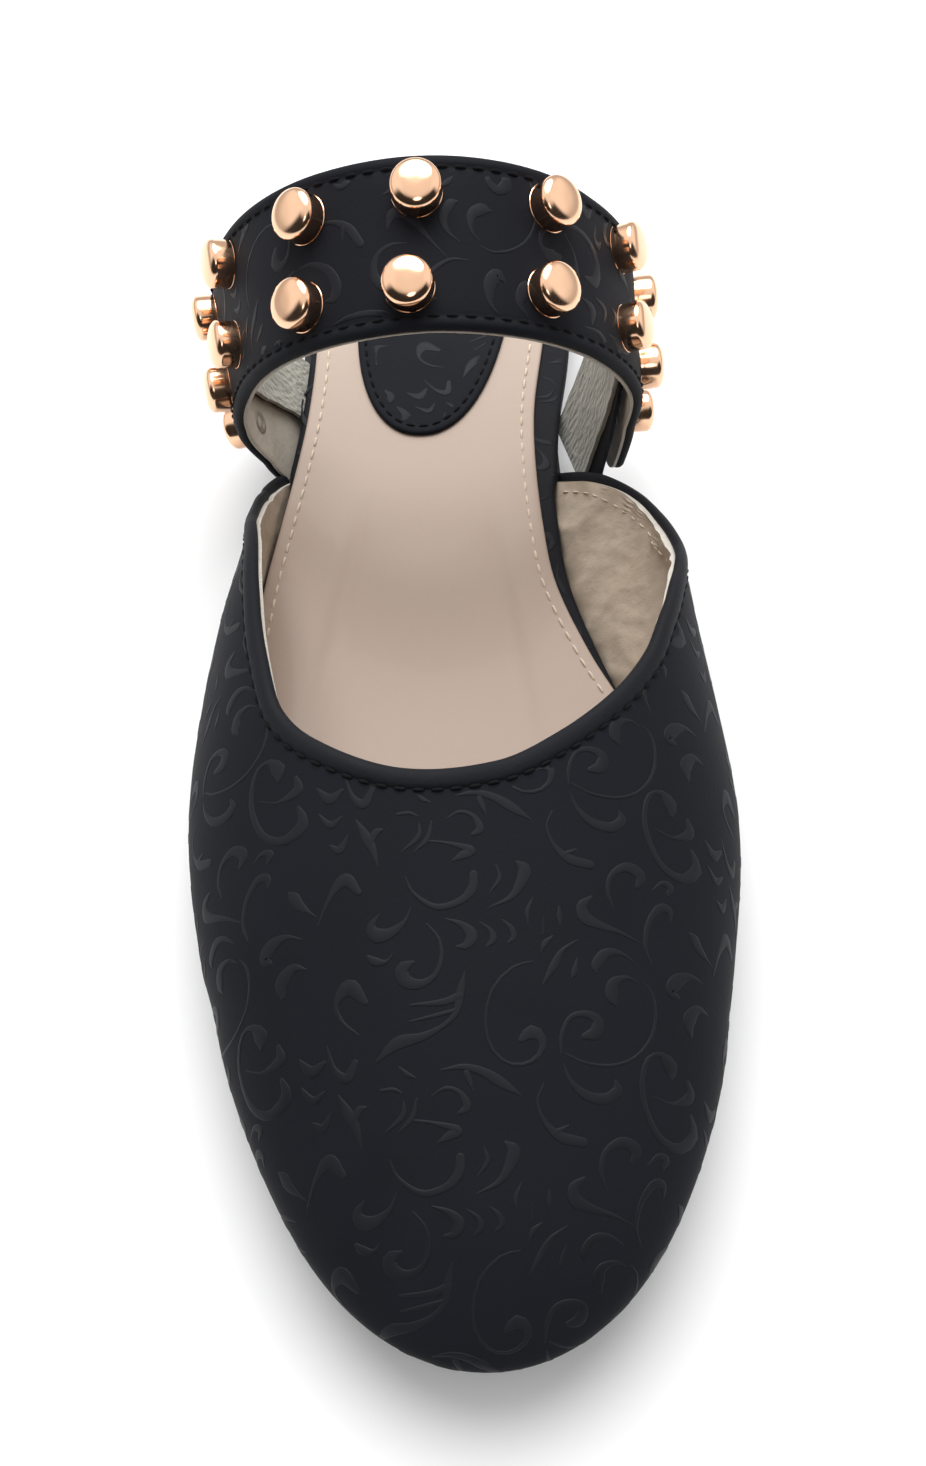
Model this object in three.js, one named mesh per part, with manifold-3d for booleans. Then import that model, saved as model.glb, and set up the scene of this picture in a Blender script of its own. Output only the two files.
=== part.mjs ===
// A flat mule for the right foot: a closed, rounded vamp over a thin sole with a low heel,
// and a studded strap that arches over the instep.
// Millimetres, +Z up, the toe towards -Y and the inner (medial) side of the foot towards +X.
import * as THREE from 'three';
import { mergeVertices } from 'three/addons/utils/BufferGeometryUtils.js';
import Module from 'manifold-3d';

const wasm = await Module();
wasm.setup();

// Overall sizes of the shoe
const shoeLength = 250;
const ballWidth = 95;
const heelHeight = 13;
const throatHeight = 46;
const clearance = 0.3;

// Sole
const soleThickness = 4;
const soleMargin = 0.5;
const toeSpring = 7;
const toeTuck = 2.5;
const toeRoundLength = 50;
const heelRoundLength = 28;
const heelBreast = 60;
const breastLength = 3;
const heelTaper = 1.5;
const edgeRound = 1.2;
const flankShare = 0.6;

// Insole board, sock and heel patch
const bedThickness = 4;
const bedMargin = 1.2;
const rimWidth = 4.2;
const sockThickness = 1;
const patchThickness = 0.8;
const patchLength = 66;
const patchWidth = 33;
const patchBack = 11;
const patchSwing = 3.2;
const patchTaper = 3;
const patchPoint = 0.62;

// Upper
const wall = 1.8;
const wideHeight = 13;
const ridgeShare = 0.54;
const crownPower = 2;
const footFlare = 1.5;
const quarterEnd = 87;
const beadWidth = 4;
const beadHeight = 0.9;
const plugReachIn = 6;
const plugReachOut = 15;
const plugReachBack = 24;

// Strap, its studs and the two tabs that it closes on
const strapWidth = 28;
const strapThickness = 2.4;
const strapRise = 69;
const strapSpan = 74;
const strapMiddle = -5.4;
const strapSeat = 70.8;
const strapLean = 20;
const strapOverhang = 0.7;
const strapEndRound = 6;
const strapEdge = 1;
const studDiameter = 8.3;
const studHeight = 3.6;
const studPitch = 19.9;
const studRowGap = 14.6;
const studRowShift = 0;
const tabThickness = 1.6;
const lateralTabWidth = 13;
const lateralTabHeight = 46;
const medialTabWidth = 17;
const medialTabReach = 36;
const medialTabShift = -3;
const tabLift = 1.0;
const tabBend = 0.4;

const ballHalf = ballWidth / 2;

// The body of the last, from the back of the quarters to the toe. Shares of the shoe's length,
// of half the ball width, of the height of the widest line and of the throat's height.
const lastRows = [
  { at: 0.32, axis: 0.0, lateral: 0.810, medial: 0.560, lateralRise: 0.70, medialRise: 1.20, crown: 1.61 },
  { at: 0.36, axis: 0.0, lateral: 0.825, medial: 0.650, lateralRise: 0.70, medialRise: 1.25, crown: 1.52 },
  { at: 0.40, axis: 0.0, lateral: 0.845, medial: 0.745, lateralRise: 0.75, medialRise: 1.40, crown: 1.43 },
  { at: 0.45, axis: 0.0, lateral: 0.875, medial: 0.830, lateralRise: 0.85, medialRise: 1.45, crown: 1.33 },
  { at: 0.51, axis: 0.0, lateral: 0.942, medial: 0.892, lateralRise: 0.95, medialRise: 1.25, crown: 1.23 },
  { at: 0.58, axis: 0.0, lateral: 0.987, medial: 0.960, lateralRise: 1.00, medialRise: 1.08, crown: 1.12 },
  { at: 0.64, axis: 0.0, lateral: 1.000, medial: 1.000, lateralRise: 1.00, medialRise: 1.00, crown: 1.04 },
  { at: 0.69, axis: 0.005, lateral: 0.985, medial: 0.990, lateralRise: 1.00, medialRise: 1.00, crown: 0.97 },
  { at: 0.76, axis: 0.017, lateral: 0.920, medial: 0.922, lateralRise: 1.00, medialRise: 1.00, crown: 0.88 },
  { at: 0.80, axis: 0.032, lateral: 0.868, medial: 0.868, lateralRise: 0.96, medialRise: 0.96, crown: 0.83 },
  { at: 0.90, axis: 0.057, lateral: 0.785, medial: 0.785, lateralRise: 0.80, medialRise: 0.80, crown: 0.69 },
  { at: 1.00, axis: 0.070, lateral: 0.768, medial: 0.768, lateralRise: 0.62, medialRise: 0.62, crown: 0.55 },
];

// The outline of the sole, in shares of the shoe's length and of half the ball width.
const soleRows = [
  { at: 0.00, axis: -0.095, lateral: 0.600, medial: 0.600 },
  { at: 0.11, axis: -0.095, lateral: 0.625, medial: 0.625 },
  { at: 0.22, axis: -0.095, lateral: 0.612, medial: 0.555 },
  { at: 0.28, axis: -0.092, lateral: 0.632, medial: 0.515 },
  { at: 0.33, axis: -0.085, lateral: 0.674, medial: 0.508 },
  { at: 0.39, axis: -0.070, lateral: 0.748, medial: 0.518 },
  { at: 0.44, axis: -0.055, lateral: 0.812, medial: 0.545 },
  { at: 0.50, axis: -0.038, lateral: 0.867, medial: 0.640 },
  { at: 0.58, axis: -0.017, lateral: 0.916, medial: 0.796 },
  { at: 0.64, axis: 0.0, lateral: 0.938, medial: 0.893 },
  { at: 0.69, axis: 0.003, lateral: 0.928, medial: 0.920 },
  { at: 0.76, axis: 0.017, lateral: 0.870, medial: 0.870 },
  { at: 0.80, axis: 0.032, lateral: 0.815, medial: 0.815 },
  { at: 0.90, axis: 0.057, lateral: 0.728, medial: 0.728 },
  { at: 1.00, axis: 0.070, lateral: 0.715, medial: 0.715 },
];

// How far the top of the sole stands above its height at the ball: shares of the heel's
// extra height and of the toe spring.
const pitchRows = [
  { at: 0.00, heel: 1.04, toe: 0.00 },
  { at: 0.20, heel: 1.00, toe: 0.00 },
  { at: 0.32, heel: 0.74, toe: 0.00 },
  { at: 0.44, heel: 0.34, toe: 0.00 },
  { at: 0.54, heel: 0.07, toe: 0.00 },
  { at: 0.60, heel: 0.00, toe: 0.00 },
  { at: 0.74, heel: 0.00, toe: 0.00 },
  { at: 0.82, heel: 0.00, toe: 0.14 },
  { at: 0.91, heel: 0.00, toe: 0.50 },
  { at: 1.00, heel: 0.00, toe: 1.00 },
];

// The part of the wrapped rim that the sock leaves bare, in shares of the rim's width.
const rimRows = [
  { at: 0.00, lateral: 0.55, medial: 0.60 },
  { at: 0.20, lateral: 0.40, medial: 0.95 },
  { at: 0.42, lateral: 0.34, medial: 0.95 },
  { at: 0.50, lateral: 0.30, medial: 0.72 },
  { at: 0.56, lateral: 0.25, medial: 0.30 },
  { at: 1.00, lateral: 0.20, medial: 0.20 },
];

// The topline, on the body of the last: a share of the shoe's length, and a share of the way
// round from the ridge (0) to the foot of the wall, outer side below 0 and inner side above it.
const toplineRows = [
  { at: 0.338, around: -0.870 },
  { at: 0.358, around: -0.770 },
  { at: 0.392, around: -0.690 },
  { at: 0.430, around: -0.600 },
  { at: 0.462, around: -0.510 },
  { at: 0.496, around: -0.450 },
  { at: 0.530, around: -0.415 },
  { at: 0.572, around: -0.366 },
  { at: 0.617, around: -0.310 },
  { at: 0.647, around: -0.220 },
  { at: 0.667, around: -0.090 },
  { at: 0.663, around: 0.050 },
  { at: 0.642, around: 0.150 },
  { at: 0.609, around: 0.255 },
  { at: 0.576, around: 0.340 },
  { at: 0.542, around: 0.410 },
  { at: 0.500, around: 0.500 },
  { at: 0.455, around: 0.610 },
  { at: 0.418, around: 0.705 },
  { at: 0.382, around: 0.790 },
  { at: 0.356, around: 0.868 },
  { at: 0.338, around: 0.920 },
];
const wideShare = 0.72;

// The strap's middle line above its foot, from the outer side to the inner end. Shares of half
// its span, of its rise above the sole and of its lean; in degrees, how far its front edge is
// turned down and turned towards the inner side.
const strapRows = [
  { out: -0.930, up: 0.120, ahead: 0.04, tilt: 12, skew: 5 },
  { out: -1.050, up: 0.340, ahead: 0.24, tilt: 24, skew: 11 },
  { out: -0.955, up: 0.600, ahead: 0.57, tilt: 28, skew: 8 },
  { out: -0.730, up: 0.815, ahead: 0.87, tilt: 27, skew: 4 },
  { out: -0.410, up: 0.950, ahead: 1.05, tilt: 25, skew: 3 },
  { out: 0.000, up: 1.000, ahead: 1.08, tilt: 24, skew: 3 },
  { out: 0.410, up: 0.950, ahead: 0.99, tilt: 25, skew: 5 },
  { out: 0.720, up: 0.815, ahead: 0.78, tilt: 28, skew: 8 },
  { out: 0.945, up: 0.600, ahead: 0.48, tilt: 30, skew: 5 },
  { out: 0.975, up: 0.330, ahead: 0.17, tilt: 30, skew: 4 },
  { out: 0.935, up: 0.030, ahead: -0.05, tilt: 30, skew: 6 },
];

// Where the studs of each column sit along the strap, in pitches from its highest point.
const studRows = [
  { column: 1, back: -4.10, front: -4.06 },
  { column: 2, back: -3.16, front: -3.12 },
  { column: 3, back: -2.11, front: -2.17 },
  { column: 4, back: -1.05, front: -1.09 },
  { column: 5, back: -0.07, front: -0.16 },
  { column: 6, back: 1.02, front: 0.97 },
  { column: 7, back: 1.98, front: 1.99 },
  { column: 8, back: 2.90, front: 2.80 },
  { column: 9, back: 3.88, front: 3.76 },
];

// A stud's outline from its foot to the middle of its cap, in shares of its radius and height.
const studRings = [
  { out: 0.00, up: 0.00 },
  { out: 0.93, up: 0.00 },
  { out: 1.00, up: 0.10 },
  { out: 1.00, up: 0.54 },
  { out: 0.97, up: 0.69 },
  { out: 0.86, up: 0.84 },
  { out: 0.62, up: 0.95 },
  { out: 0.00, up: 1.00 },
];
const studSides = 14;

// Reads a column of a table at any share of the length, on a smooth curve through its rows.
function read(rows, column, at, key = 'at') {
  let i = 0;
  while (i < rows.length - 2 && at > rows[i + 1][key]) i++;
  const slope = (k) => {
    const before = rows[Math.max(k - 1, 0)];
    const after = rows[Math.min(k + 1, rows.length - 1)];
    return (after[column] - before[column]) / (after[key] - before[key]);
  };
  const step = rows[i + 1][key] - rows[i][key];
  const u = (at - rows[i][key]) / step;
  const start = rows[i][column];
  const end = rows[i + 1][column];
  const rise = 3 * u * u - 2 * u * u * u;
  const leave = (u - 2 * u * u + u * u * u) * step * slope(i);
  const arrive = (u * u * u - u * u) * step * slope(i + 1);
  return start + (end - start) * rise + leave + arrive;
}

const mix = (a, b, share) => a + (b - a) * share;
const clamp = (value, low, high) => Math.min(Math.max(value, low), high);
const radians = (degrees) => (degrees * Math.PI) / 180;

// A point at a distance across the shoe, a distance forward of the heel's end, and a height.
const place = (x, along, z) => new THREE.Vector3(x, shoeLength / 2 - along, z);

// Height of the top face of the sole.
function bedHeight(along) {
  const at = clamp(along / shoeLength, 0, 1);
  const heel = (heelHeight - soleThickness) * read(pitchRows, 'heel', at);
  return soleThickness + heel + toeSpring * read(pitchRows, 'toe', at);
}

// Skins a row of closed rings. An end ring that has shrunk to a line or a point needs no cap.
function ringGeometry(rings, capStart = true, capEnd = true) {
  const count = rings[0].length;
  const points = rings.flat();
  const faces = [];
  for (let r = 0; r < rings.length - 1; r++) {
    for (let k = 0; k < count; k++) {
      const a = r * count + k;
      const b = r * count + ((k + 1) % count);
      faces.push(a, b, b + count, a, b + count, a + count);
    }
  }
  const cap = (ring, first, turned) => {
    const middle = new THREE.Vector3();
    ring.forEach((point) => middle.addScaledVector(point, 1 / count));
    points.push(middle);
    for (let k = 0; k < count; k++) {
      const a = first + k;
      const b = first + ((k + 1) % count);
      if (turned) faces.push(points.length - 1, b, a);
      else faces.push(points.length - 1, a, b);
    }
  };
  if (capStart) cap(rings[0], 0, true);
  if (capEnd) cap(rings[rings.length - 1], (rings.length - 1) * count, false);
  const geometry = new THREE.BufferGeometry().setFromPoints(points);
  geometry.setIndex(faces);
  return geometry;
}

// Turns a closed geometry into a solid with its faces pointing out.
function toSolid(geometry) {
  geometry.deleteAttribute('normal');
  geometry.deleteAttribute('uv');
  const merged = mergeVertices(geometry, 1e-3);
  const spots = merged.attributes.position;
  const index = merged.index.array;
  const corner = [new THREE.Vector3(), new THREE.Vector3(), new THREE.Vector3()];
  const triangles = [];
  let volume = 0;
  for (let i = 0; i < index.length; i += 3) {
    const [a, b, c] = [index[i], index[i + 1], index[i + 2]];
    if (a === b || b === c || a === c) continue;
    triangles.push(a, b, c);
    corner.forEach((point, k) => point.fromBufferAttribute(spots, index[i + k]));
    volume += corner[0].dot(corner[1].clone().cross(corner[2]));
  }
  if (volume < 0) triangles.reverse();
  return new wasm.Manifold(new wasm.Mesh({
    numProp: 3,
    vertProperties: new Float32Array(spots.array),
    triVerts: new Uint32Array(triangles),
  }));
}

function toGeometry(solid) {
  const mesh = solid.getMesh();
  const geometry = new THREE.BufferGeometry();
  geometry.setAttribute('position', new THREE.BufferAttribute(mesh.vertProperties.slice(), 3));
  geometry.setIndex(new THREE.BufferAttribute(mesh.triVerts.slice(), 1));
  geometry.computeVertexNormals();
  return geometry;
}

const group = new THREE.Group();

function addPiece(name, solid, look) {
  const material = new THREE.MeshStandardMaterial(look);
  const piece = new THREE.Mesh(toGeometry(solid), material);
  piece.name = name;
  group.add(piece);
  return piece;
}

const blackSuede = { color: 0x1b1b1e, roughness: 0.85, metalness: 0 };
const blackRubber = { color: 0x141414, roughness: 0.7, metalness: 0 };
const beigeLining = { color: 0xc4ab98, roughness: 0.6, metalness: 0 };
const tabFelt = { color: 0x8b8e86, roughness: 0.95, metalness: 0 };
const roseGold = { color: 0xd9a184, roughness: 0.18, metalness: 1 };

// Sole outline

const toeStart = shoeLength - toeRoundLength;

// x of the sole's edge on one side (-1 outer, 1 inner), drawn in by an inset that also
// shortens both ends.
function soleEdge(along, side, inset, endInset = inset) {
  const at = clamp(along / shoeLength, 0, 1);
  const toeEnd = shoeLength - toeTuck - endInset;
  const toeRun = clamp((along - toeStart) / (toeEnd - toeStart), 0, 1);
  const heelRun = clamp((heelRoundLength - along) / (heelRoundLength - endInset), 0, 1);
  const round = Math.sqrt(1 - toeRun * toeRun) * Math.sqrt(1 - heelRun * heelRun);
  const half = ballHalf * read(soleRows, side < 0 ? 'lateral' : 'medial', at) - inset;
  return ballHalf * read(soleRows, 'axis', at) + side * half * round;
}

// Distances forward of the heel's end: close together where both ends turn round.
function stations(endInset, extra = []) {
  const list = [];
  const turns = 9;
  const toeEnd = shoeLength - toeTuck - endInset;
  for (let k = 0; k < turns; k++) {
    const swing = Math.cos((k / turns) * (Math.PI / 2));
    list.push(heelRoundLength - (heelRoundLength - endInset) * swing);
  }
  const straight = 20;
  for (let k = 0; k < straight; k++) list.push(mix(heelRoundLength, toeStart, k / straight));
  for (let k = 0; k <= turns; k++) {
    list.push(toeStart + (toeEnd - toeStart) * Math.sin((k / turns) * (Math.PI / 2)));
  }
  const closest = 0.6;
  const kept = list.filter((value) => extra.every((stop) => Math.abs(stop - value) > closest));
  return [...kept, ...extra].sort((a, b) => a - b);
}

// The sole, or the space round it when it is grown by a gap.
function makeOutsole(gap = 0) {
  const breastEnd = heelBreast + breastLength;
  const margin = soleMargin + gap;
  const rings = stations(-margin, [heelBreast, breastEnd]).map((along) => {
    const top = bedHeight(along) + gap;
    const onHeel = along <= heelBreast;
    const bottom = onHeel ? 0 : Math.max(top - soleThickness, 0);
    const taper = onHeel ? heelTaper : 0;
    const ring = [];
    for (const side of [-1, 1]) {
      const flank = [
        place(soleEdge(along, side, -margin), along, top),
        place(soleEdge(along, side, taper / 2 - margin, -margin), along, mix(top, bottom, flankShare)),
        place(soleEdge(along, side, taper + edgeRound, -margin), along, bottom),
      ];
      ring.push(...(side < 0 ? flank : flank.reverse()));
    }
    return ring;
  });
  return toSolid(ringGeometry(rings, false, false));
}

// A flat layer on the sole: its edges are the sole's, drawn in by a function of the distance.
function makeLayer(lift, thickness, inset, endInset, extra) {
  const rings = stations(endInset, extra).map((along) => {
    const base = bedHeight(along) + lift;
    const left = soleEdge(along, -1, inset(along, -1), endInset);
    const right = soleEdge(along, 1, inset(along, 1), endInset);
    const corner = Math.min(thickness / 4, (right - left) / 3);
    return [
      place(left, along, base),
      place(left, along, base + thickness - corner),
      place(left + corner, along, base + thickness),
      place(right - corner, along, base + thickness),
      place(right, along, base + thickness - corner),
      place(right, along, base),
    ];
  });
  return toSolid(ringGeometry(rings, false, false));
}

const quarterRamp = 1;

function bedInset(along) {
  const inside = clamp((along - quarterEnd) / quarterRamp + 1, 0, 1);
  return mix(bedMargin, wall + clearance, inside);
}

const bedStops = [quarterEnd - quarterRamp, quarterEnd];

function sockInset(along, side) {
  const bare = rimWidth * read(rimRows, side < 0 ? 'lateral' : 'medial', along / shoeLength);
  return bedMargin + bare;
}

const bedEnd = wall + clearance;
const sockBase = clearance + bedThickness + clearance;
const patchBase = sockBase + sockThickness + clearance;

// A pointed oval, round at the heel's end and drawn to a soft point towards the toe.
function makePatch() {
  const steps = 22;
  const rings = [];
  const patchFront = patchBack + patchLength;
  const widest = patchBack + patchWidth / 2;
  for (let k = 0; k <= steps; k++) {
    const along = mix(patchBack, patchFront, (1 - Math.cos((k / steps) * Math.PI)) / 2);
    const back = clamp((widest - along) / (widest - patchBack), 0, 1);
    const front = clamp((along - widest) / (patchFront - widest), 0, 1);
    const round = Math.sqrt(1 - back * back) * (1 - front ** patchTaper) ** patchPoint;
    const half = (patchWidth / 2) * round;
    const middle = ballHalf * read(soleRows, 'axis', along / shoeLength) - patchSwing * front;
    const base = bedHeight(along) + patchBase;
    rings.push([
      place(middle - half, along, base),
      place(middle - half, along, base + patchThickness),
      place(middle + half, along, base + patchThickness),
      place(middle + half, along, base),
    ]);
  }
  return toSolid(ringGeometry(rings, false, false));
}

// Upper

// One rib of the last's body on one side. Behind the toe it lies square across the shoe,
// and round the toe it swings until it runs along the middle.
function lastRib(swing, side) {
  const toe = clamp(swing - 1, 0, 1);
  const back = Math.min(swing, 1);
  const turn = Math.sin(toe * (Math.PI / 2));
  const straight = mix(quarterEnd, toeStart, back);
  const wideAlong = straight + toeRoundLength * turn;
  const footAlong = straight + (toeRoundLength - toeTuck) * turn;
  const ridgeAlong = straight + toeRoundLength * (turn - (1 - ridgeShare) * turn * turn);
  const column = side < 0 ? 'lateral' : 'medial';
  const at = wideAlong / shoeLength;
  const round = Math.cos(toe * (Math.PI / 2));
  const wideX = ballHalf * (read(lastRows, 'axis', at) + side * read(lastRows, column, at) * round);
  const base = bedHeight(footAlong) + clearance;
  return {
    wide: new THREE.Vector2(wideX, wideAlong),
    foot: new THREE.Vector2(soleEdge(footAlong, side, 0), footAlong),
    ridge: new THREE.Vector2(ballHalf * read(lastRows, 'axis', ridgeAlong / shoeLength), ridgeAlong),
    base,
    wideZ: base + wideHeight * read(lastRows, column + 'Rise', at),
  };
}

// A point on the last's body. Swing runs from 0 at the back of the quarters to 1 where the
// toe begins and 2 at the tip; around runs from -1 at the outer foot of the wall, over the
// ridge at 0, to 1 at the inner foot.
function lastPoint(swing, around) {
  const rib = lastRib(swing, around < 0 ? -1 : 1);
  const reach = Math.abs(around);
  if (reach > wideShare) {
    const up = (1 - reach) / (1 - wideShare);
    const out = 1 - (1 - up ** footFlare) ** 2;
    const spot = rib.foot.clone().lerp(rib.wide, out);
    return place(spot.x, spot.y, mix(rib.base, rib.wideZ, up));
  }
  const turn = (1 - reach / wideShare) * (Math.PI / 2);
  const inward = 1 - Math.cos(turn) ** (2 / crownPower);
  const upward = Math.sin(turn) ** (2 / crownPower);
  const spot = rib.wide.clone().lerp(rib.ridge, inward);
  const crown = throatHeight * read(lastRows, 'crown', spot.y / shoeLength);
  return place(spot.x, spot.y, mix(rib.wideZ, crown, upward));
}

const swingAt = (along) => Math.min((along - quarterEnd) / (toeStart - quarterEnd), 1);

// The way out of the last's body at a point, from the points close around it.
function lastNormal(swing, around) {
  const nudge = 0.01;
  const near = Math.min(swing, 2 - nudge);
  const ahead = lastPoint(near + nudge, around);
  const behind = lastPoint(near - nudge, around);
  const inner = lastPoint(near, Math.min(around + nudge, 1));
  const outer = lastPoint(near, Math.max(around - nudge, -1));
  return ahead.sub(behind).cross(inner.sub(outer)).normalize();
}

const straightSections = 20;
const toeSections = 13;
const footSteps = 4;
const crownSteps = 9;

// Shares of the way round from the outer foot to the inner one.
function aroundSteps() {
  const half = [];
  for (let k = 0; k < footSteps; k++) half.push(mix(1, wideShare, k / footSteps));
  for (let k = 0; k < crownSteps; k++) half.push(mix(wideShare, 0, k / crownSteps));
  return [...half.map((value) => -value), 0, ...half.reverse()];
}

// The last's body as a solid, grown or shrunk along its own normals. A skirt drops its foot.
function makeBody(grow, skirt, backstep) {
  const swings = [];
  for (let k = 0; k < straightSections; k++) swings.push(k / straightSections);
  for (let k = 0; k <= toeSections; k++) swings.push(1 + k / toeSections);
  const rounds = aroundSteps();
  const rings = swings.map((swing) => {
    const ring = rounds.map((around) => {
      const side = swing < 2 ? around : -Math.abs(around);
      const normal = lastNormal(swing, side);
      if (swing === 2) normal.setX(0).normalize();
      return lastPoint(swing, side).addScaledVector(normal, grow);
    });
    if (skirt > 0) {
      const down = new THREE.Vector3(0, 0, -skirt);
      ring.unshift(ring[0].clone().add(down));
      ring.push(ring[ring.length - 1].clone().add(down));
    }
    return ring;
  });
  if (backstep > 0) {
    rings.unshift(rings[0].map((point) => point.clone().setY(point.y + backstep)));
  }
  return toSolid(ringGeometry(rings, true, false));
}

// The topline as points on the last's body, each with its way out and its way down the wall.
function toplinePoints() {
  const spots = toplineRows.map((row) => new THREE.Vector3(row.at * shoeLength, row.around, 0));
  spots.forEach((spot) => { spot.y *= shoeLength; });
  const curve = new THREE.CatmullRomCurve3(spots, false, 'centripetal');
  const steps = 72;
  const list = curve.getPoints(steps).map((spot) => {
    const around = clamp(spot.y / shoeLength, -1, 1);
    const swing = swingAt(spot.x);
    return { point: lastPoint(swing, around), normal: lastNormal(swing, around) };
  });
  list.forEach((spot, k) => {
    const before = list[Math.max(k - 1, 0)].point;
    const after = list[Math.min(k + 1, list.length - 1)].point;
    spot.down = after.clone().sub(before).cross(spot.normal).normalize();
  });
  return list;
}

// A plug that takes away all that stands above the topline, lowered down the wall by a drop.
function makePlug(drop) {
  const high = throatHeight + strapRise;
  const middleShare = 0.3;
  const inner = [];
  const outer = [];
  toplinePoints().forEach(({ point, normal, down }) => {
    const edge = point.clone().addScaledVector(down, drop);
    inner.push(edge.clone().addScaledVector(normal, -plugReachIn));
    outer.push(edge.clone().addScaledVector(normal, plugReachOut));
  });
  const back = shoeLength / 2 - quarterEnd + plugReachBack;
  const ends = [outer[outer.length - 1], outer[0]];
  ends.forEach((end) => {
    inner.push(new THREE.Vector3(end.x, back, end.z - plugReachIn));
    outer.push(new THREE.Vector3(end.x, back, end.z - plugReachIn));
  });
  const top = outer.map((point) => point.clone().setZ(high));
  const middle = place(0, mix(quarterEnd, toeStart, middleShare), 2 * wideHeight + heelHeight);
  const core = inner.map(() => middle.clone());
  const lid = inner.map(() => middle.clone().setZ(high));
  return toSolid(ringGeometry([core, inner, outer, top, lid], false, false));
}

function makeUpper() {
  const overrun = 4 * wall;
  const hollow = makeBody(-wall, overrun, overrun);
  const topPlug = makePlug(0);
  const shell = makeBody(0, 0, 0).subtract(hollow).subtract(topPlug);
  const binding = makeBody(beadHeight, 0, 0).subtract(hollow).intersect(makePlug(beadWidth));
  return shell.add(binding.subtract(topPlug));
}

// Strap

const strapBase = bedHeight(strapSeat) + clearance;
const footDrop = 1.2;
const soleSpace = makeOutsole(clearance);

// Where the strap's middle line passes, with the two turns of its front edge.
function strapKnots() {
  const edgeAt = (along) => soleEdge(along, -1, 0);
  const back = strapSeat - strapWidth / 2;
  const front = strapSeat + strapWidth / 2;
  const foot = {
    point: place(edgeAt(strapSeat) - strapOverhang + strapThickness / 2, strapSeat, strapBase - footDrop),
    tilt: Math.atan((bedHeight(back) - bedHeight(front)) / strapWidth),
    skew: Math.atan((edgeAt(front) - edgeAt(back)) / strapWidth),
  };
  const rest = strapRows.map((row) => ({
    point: place(
      strapMiddle + (row.out * strapSpan) / 2,
      strapSeat + row.ahead * strapLean,
      strapBase + row.up * strapRise,
    ),
    tilt: radians(row.tilt),
    skew: radians(row.skew),
  }));
  return [foot, ...rest];
}

const knots = strapKnots();
const strapLine = new THREE.CatmullRomCurve3(knots.map((knot) => knot.point), false, 'centripetal');
strapLine.arcLengthDivisions = 400;
const strapLength = strapLine.getLength();

// The strap at a distance along its middle line: the point, the way along, the way across
// towards the front edge, and the way out.
function strapFrame(distance) {
  const share = clamp(distance / strapLength, 0, 1);
  const turn = strapLine.getUtoTmapping(share) * (knots.length - 1);
  const k = Math.min(Math.floor(turn), knots.length - 2);
  const tilt = mix(knots[k].tilt, knots[k + 1].tilt, turn - k);
  const skew = mix(knots[k].skew, knots[k + 1].skew, turn - k);
  const tangent = strapLine.getTangentAt(share);
  const across = new THREE.Vector3(Math.sin(skew), -Math.cos(tilt), -Math.sin(tilt));
  across.addScaledVector(tangent, -across.dot(tangent)).normalize();
  const outward = across.clone().cross(tangent).normalize();
  return { point: strapLine.getPointAt(share), tangent, across, outward };
}

// A point on the strap: along its line, across towards the front edge, and out of its middle.
function strapPoint(distance, side, out) {
  const { point, across, outward } = strapFrame(distance);
  return point.clone().addScaledVector(across, side).addScaledVector(outward, out);
}

// The strap, or the space round it when it is grown by a gap.
function makeStrap(gap = 0) {
  const steps = 44;
  const crowding = 1.1;
  const face = strapThickness / 2 + gap;
  const rings = [];
  for (let k = 0; k <= steps; k++) {
    const distance = strapLength * Math.sin(((k / steps) * Math.PI) / 2) ** crowding;
    const left = clamp(strapEndRound - (strapLength - distance), 0, strapEndRound);
    const half = strapWidth / 2 + gap - strapEndRound + Math.sqrt(strapEndRound ** 2 - left ** 2);
    rings.push([
      strapPoint(distance, -half, 0),
      strapPoint(distance, -half + strapEdge, face),
      strapPoint(distance, 0, face),
      strapPoint(distance, half - strapEdge, face),
      strapPoint(distance, half, 0),
      strapPoint(distance, half - strapEdge, -face),
      strapPoint(distance, 0, -face),
      strapPoint(distance, -half + strapEdge, -face),
    ]);
  }
  return toSolid(ringGeometry(rings));
}

// Tabs

const tabDepthInStrap = -strapThickness / 2 - clearance - tabThickness / 2;

// The outer tab lies against the inside of the strap, and widens towards its top.
function makeLateralTab(gap = 0) {
  const steps = 12;
  const back = -strapWidth / 2 - gap;
  const footFront = back + lateralTabWidth + 2 * gap;
  const rings = [];
  for (let k = 0; k <= steps; k++) {
    const up = k / steps;
    const front = mix(footFront, strapWidth / 2 - strapEdge, up);
    const ring = [-1, 1].flatMap((skin) => {
      const out = tabDepthInStrap + skin * (tabThickness / 2 + gap);
      const sides = [back, mix(back, front, 0.5), front];
      return (skin < 0 ? sides : sides.reverse()).map((side) => strapPoint(up * lateralTabHeight, side, out));
    });
    rings.push(ring);
  }
  return toSolid(ringGeometry(rings));
}

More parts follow.
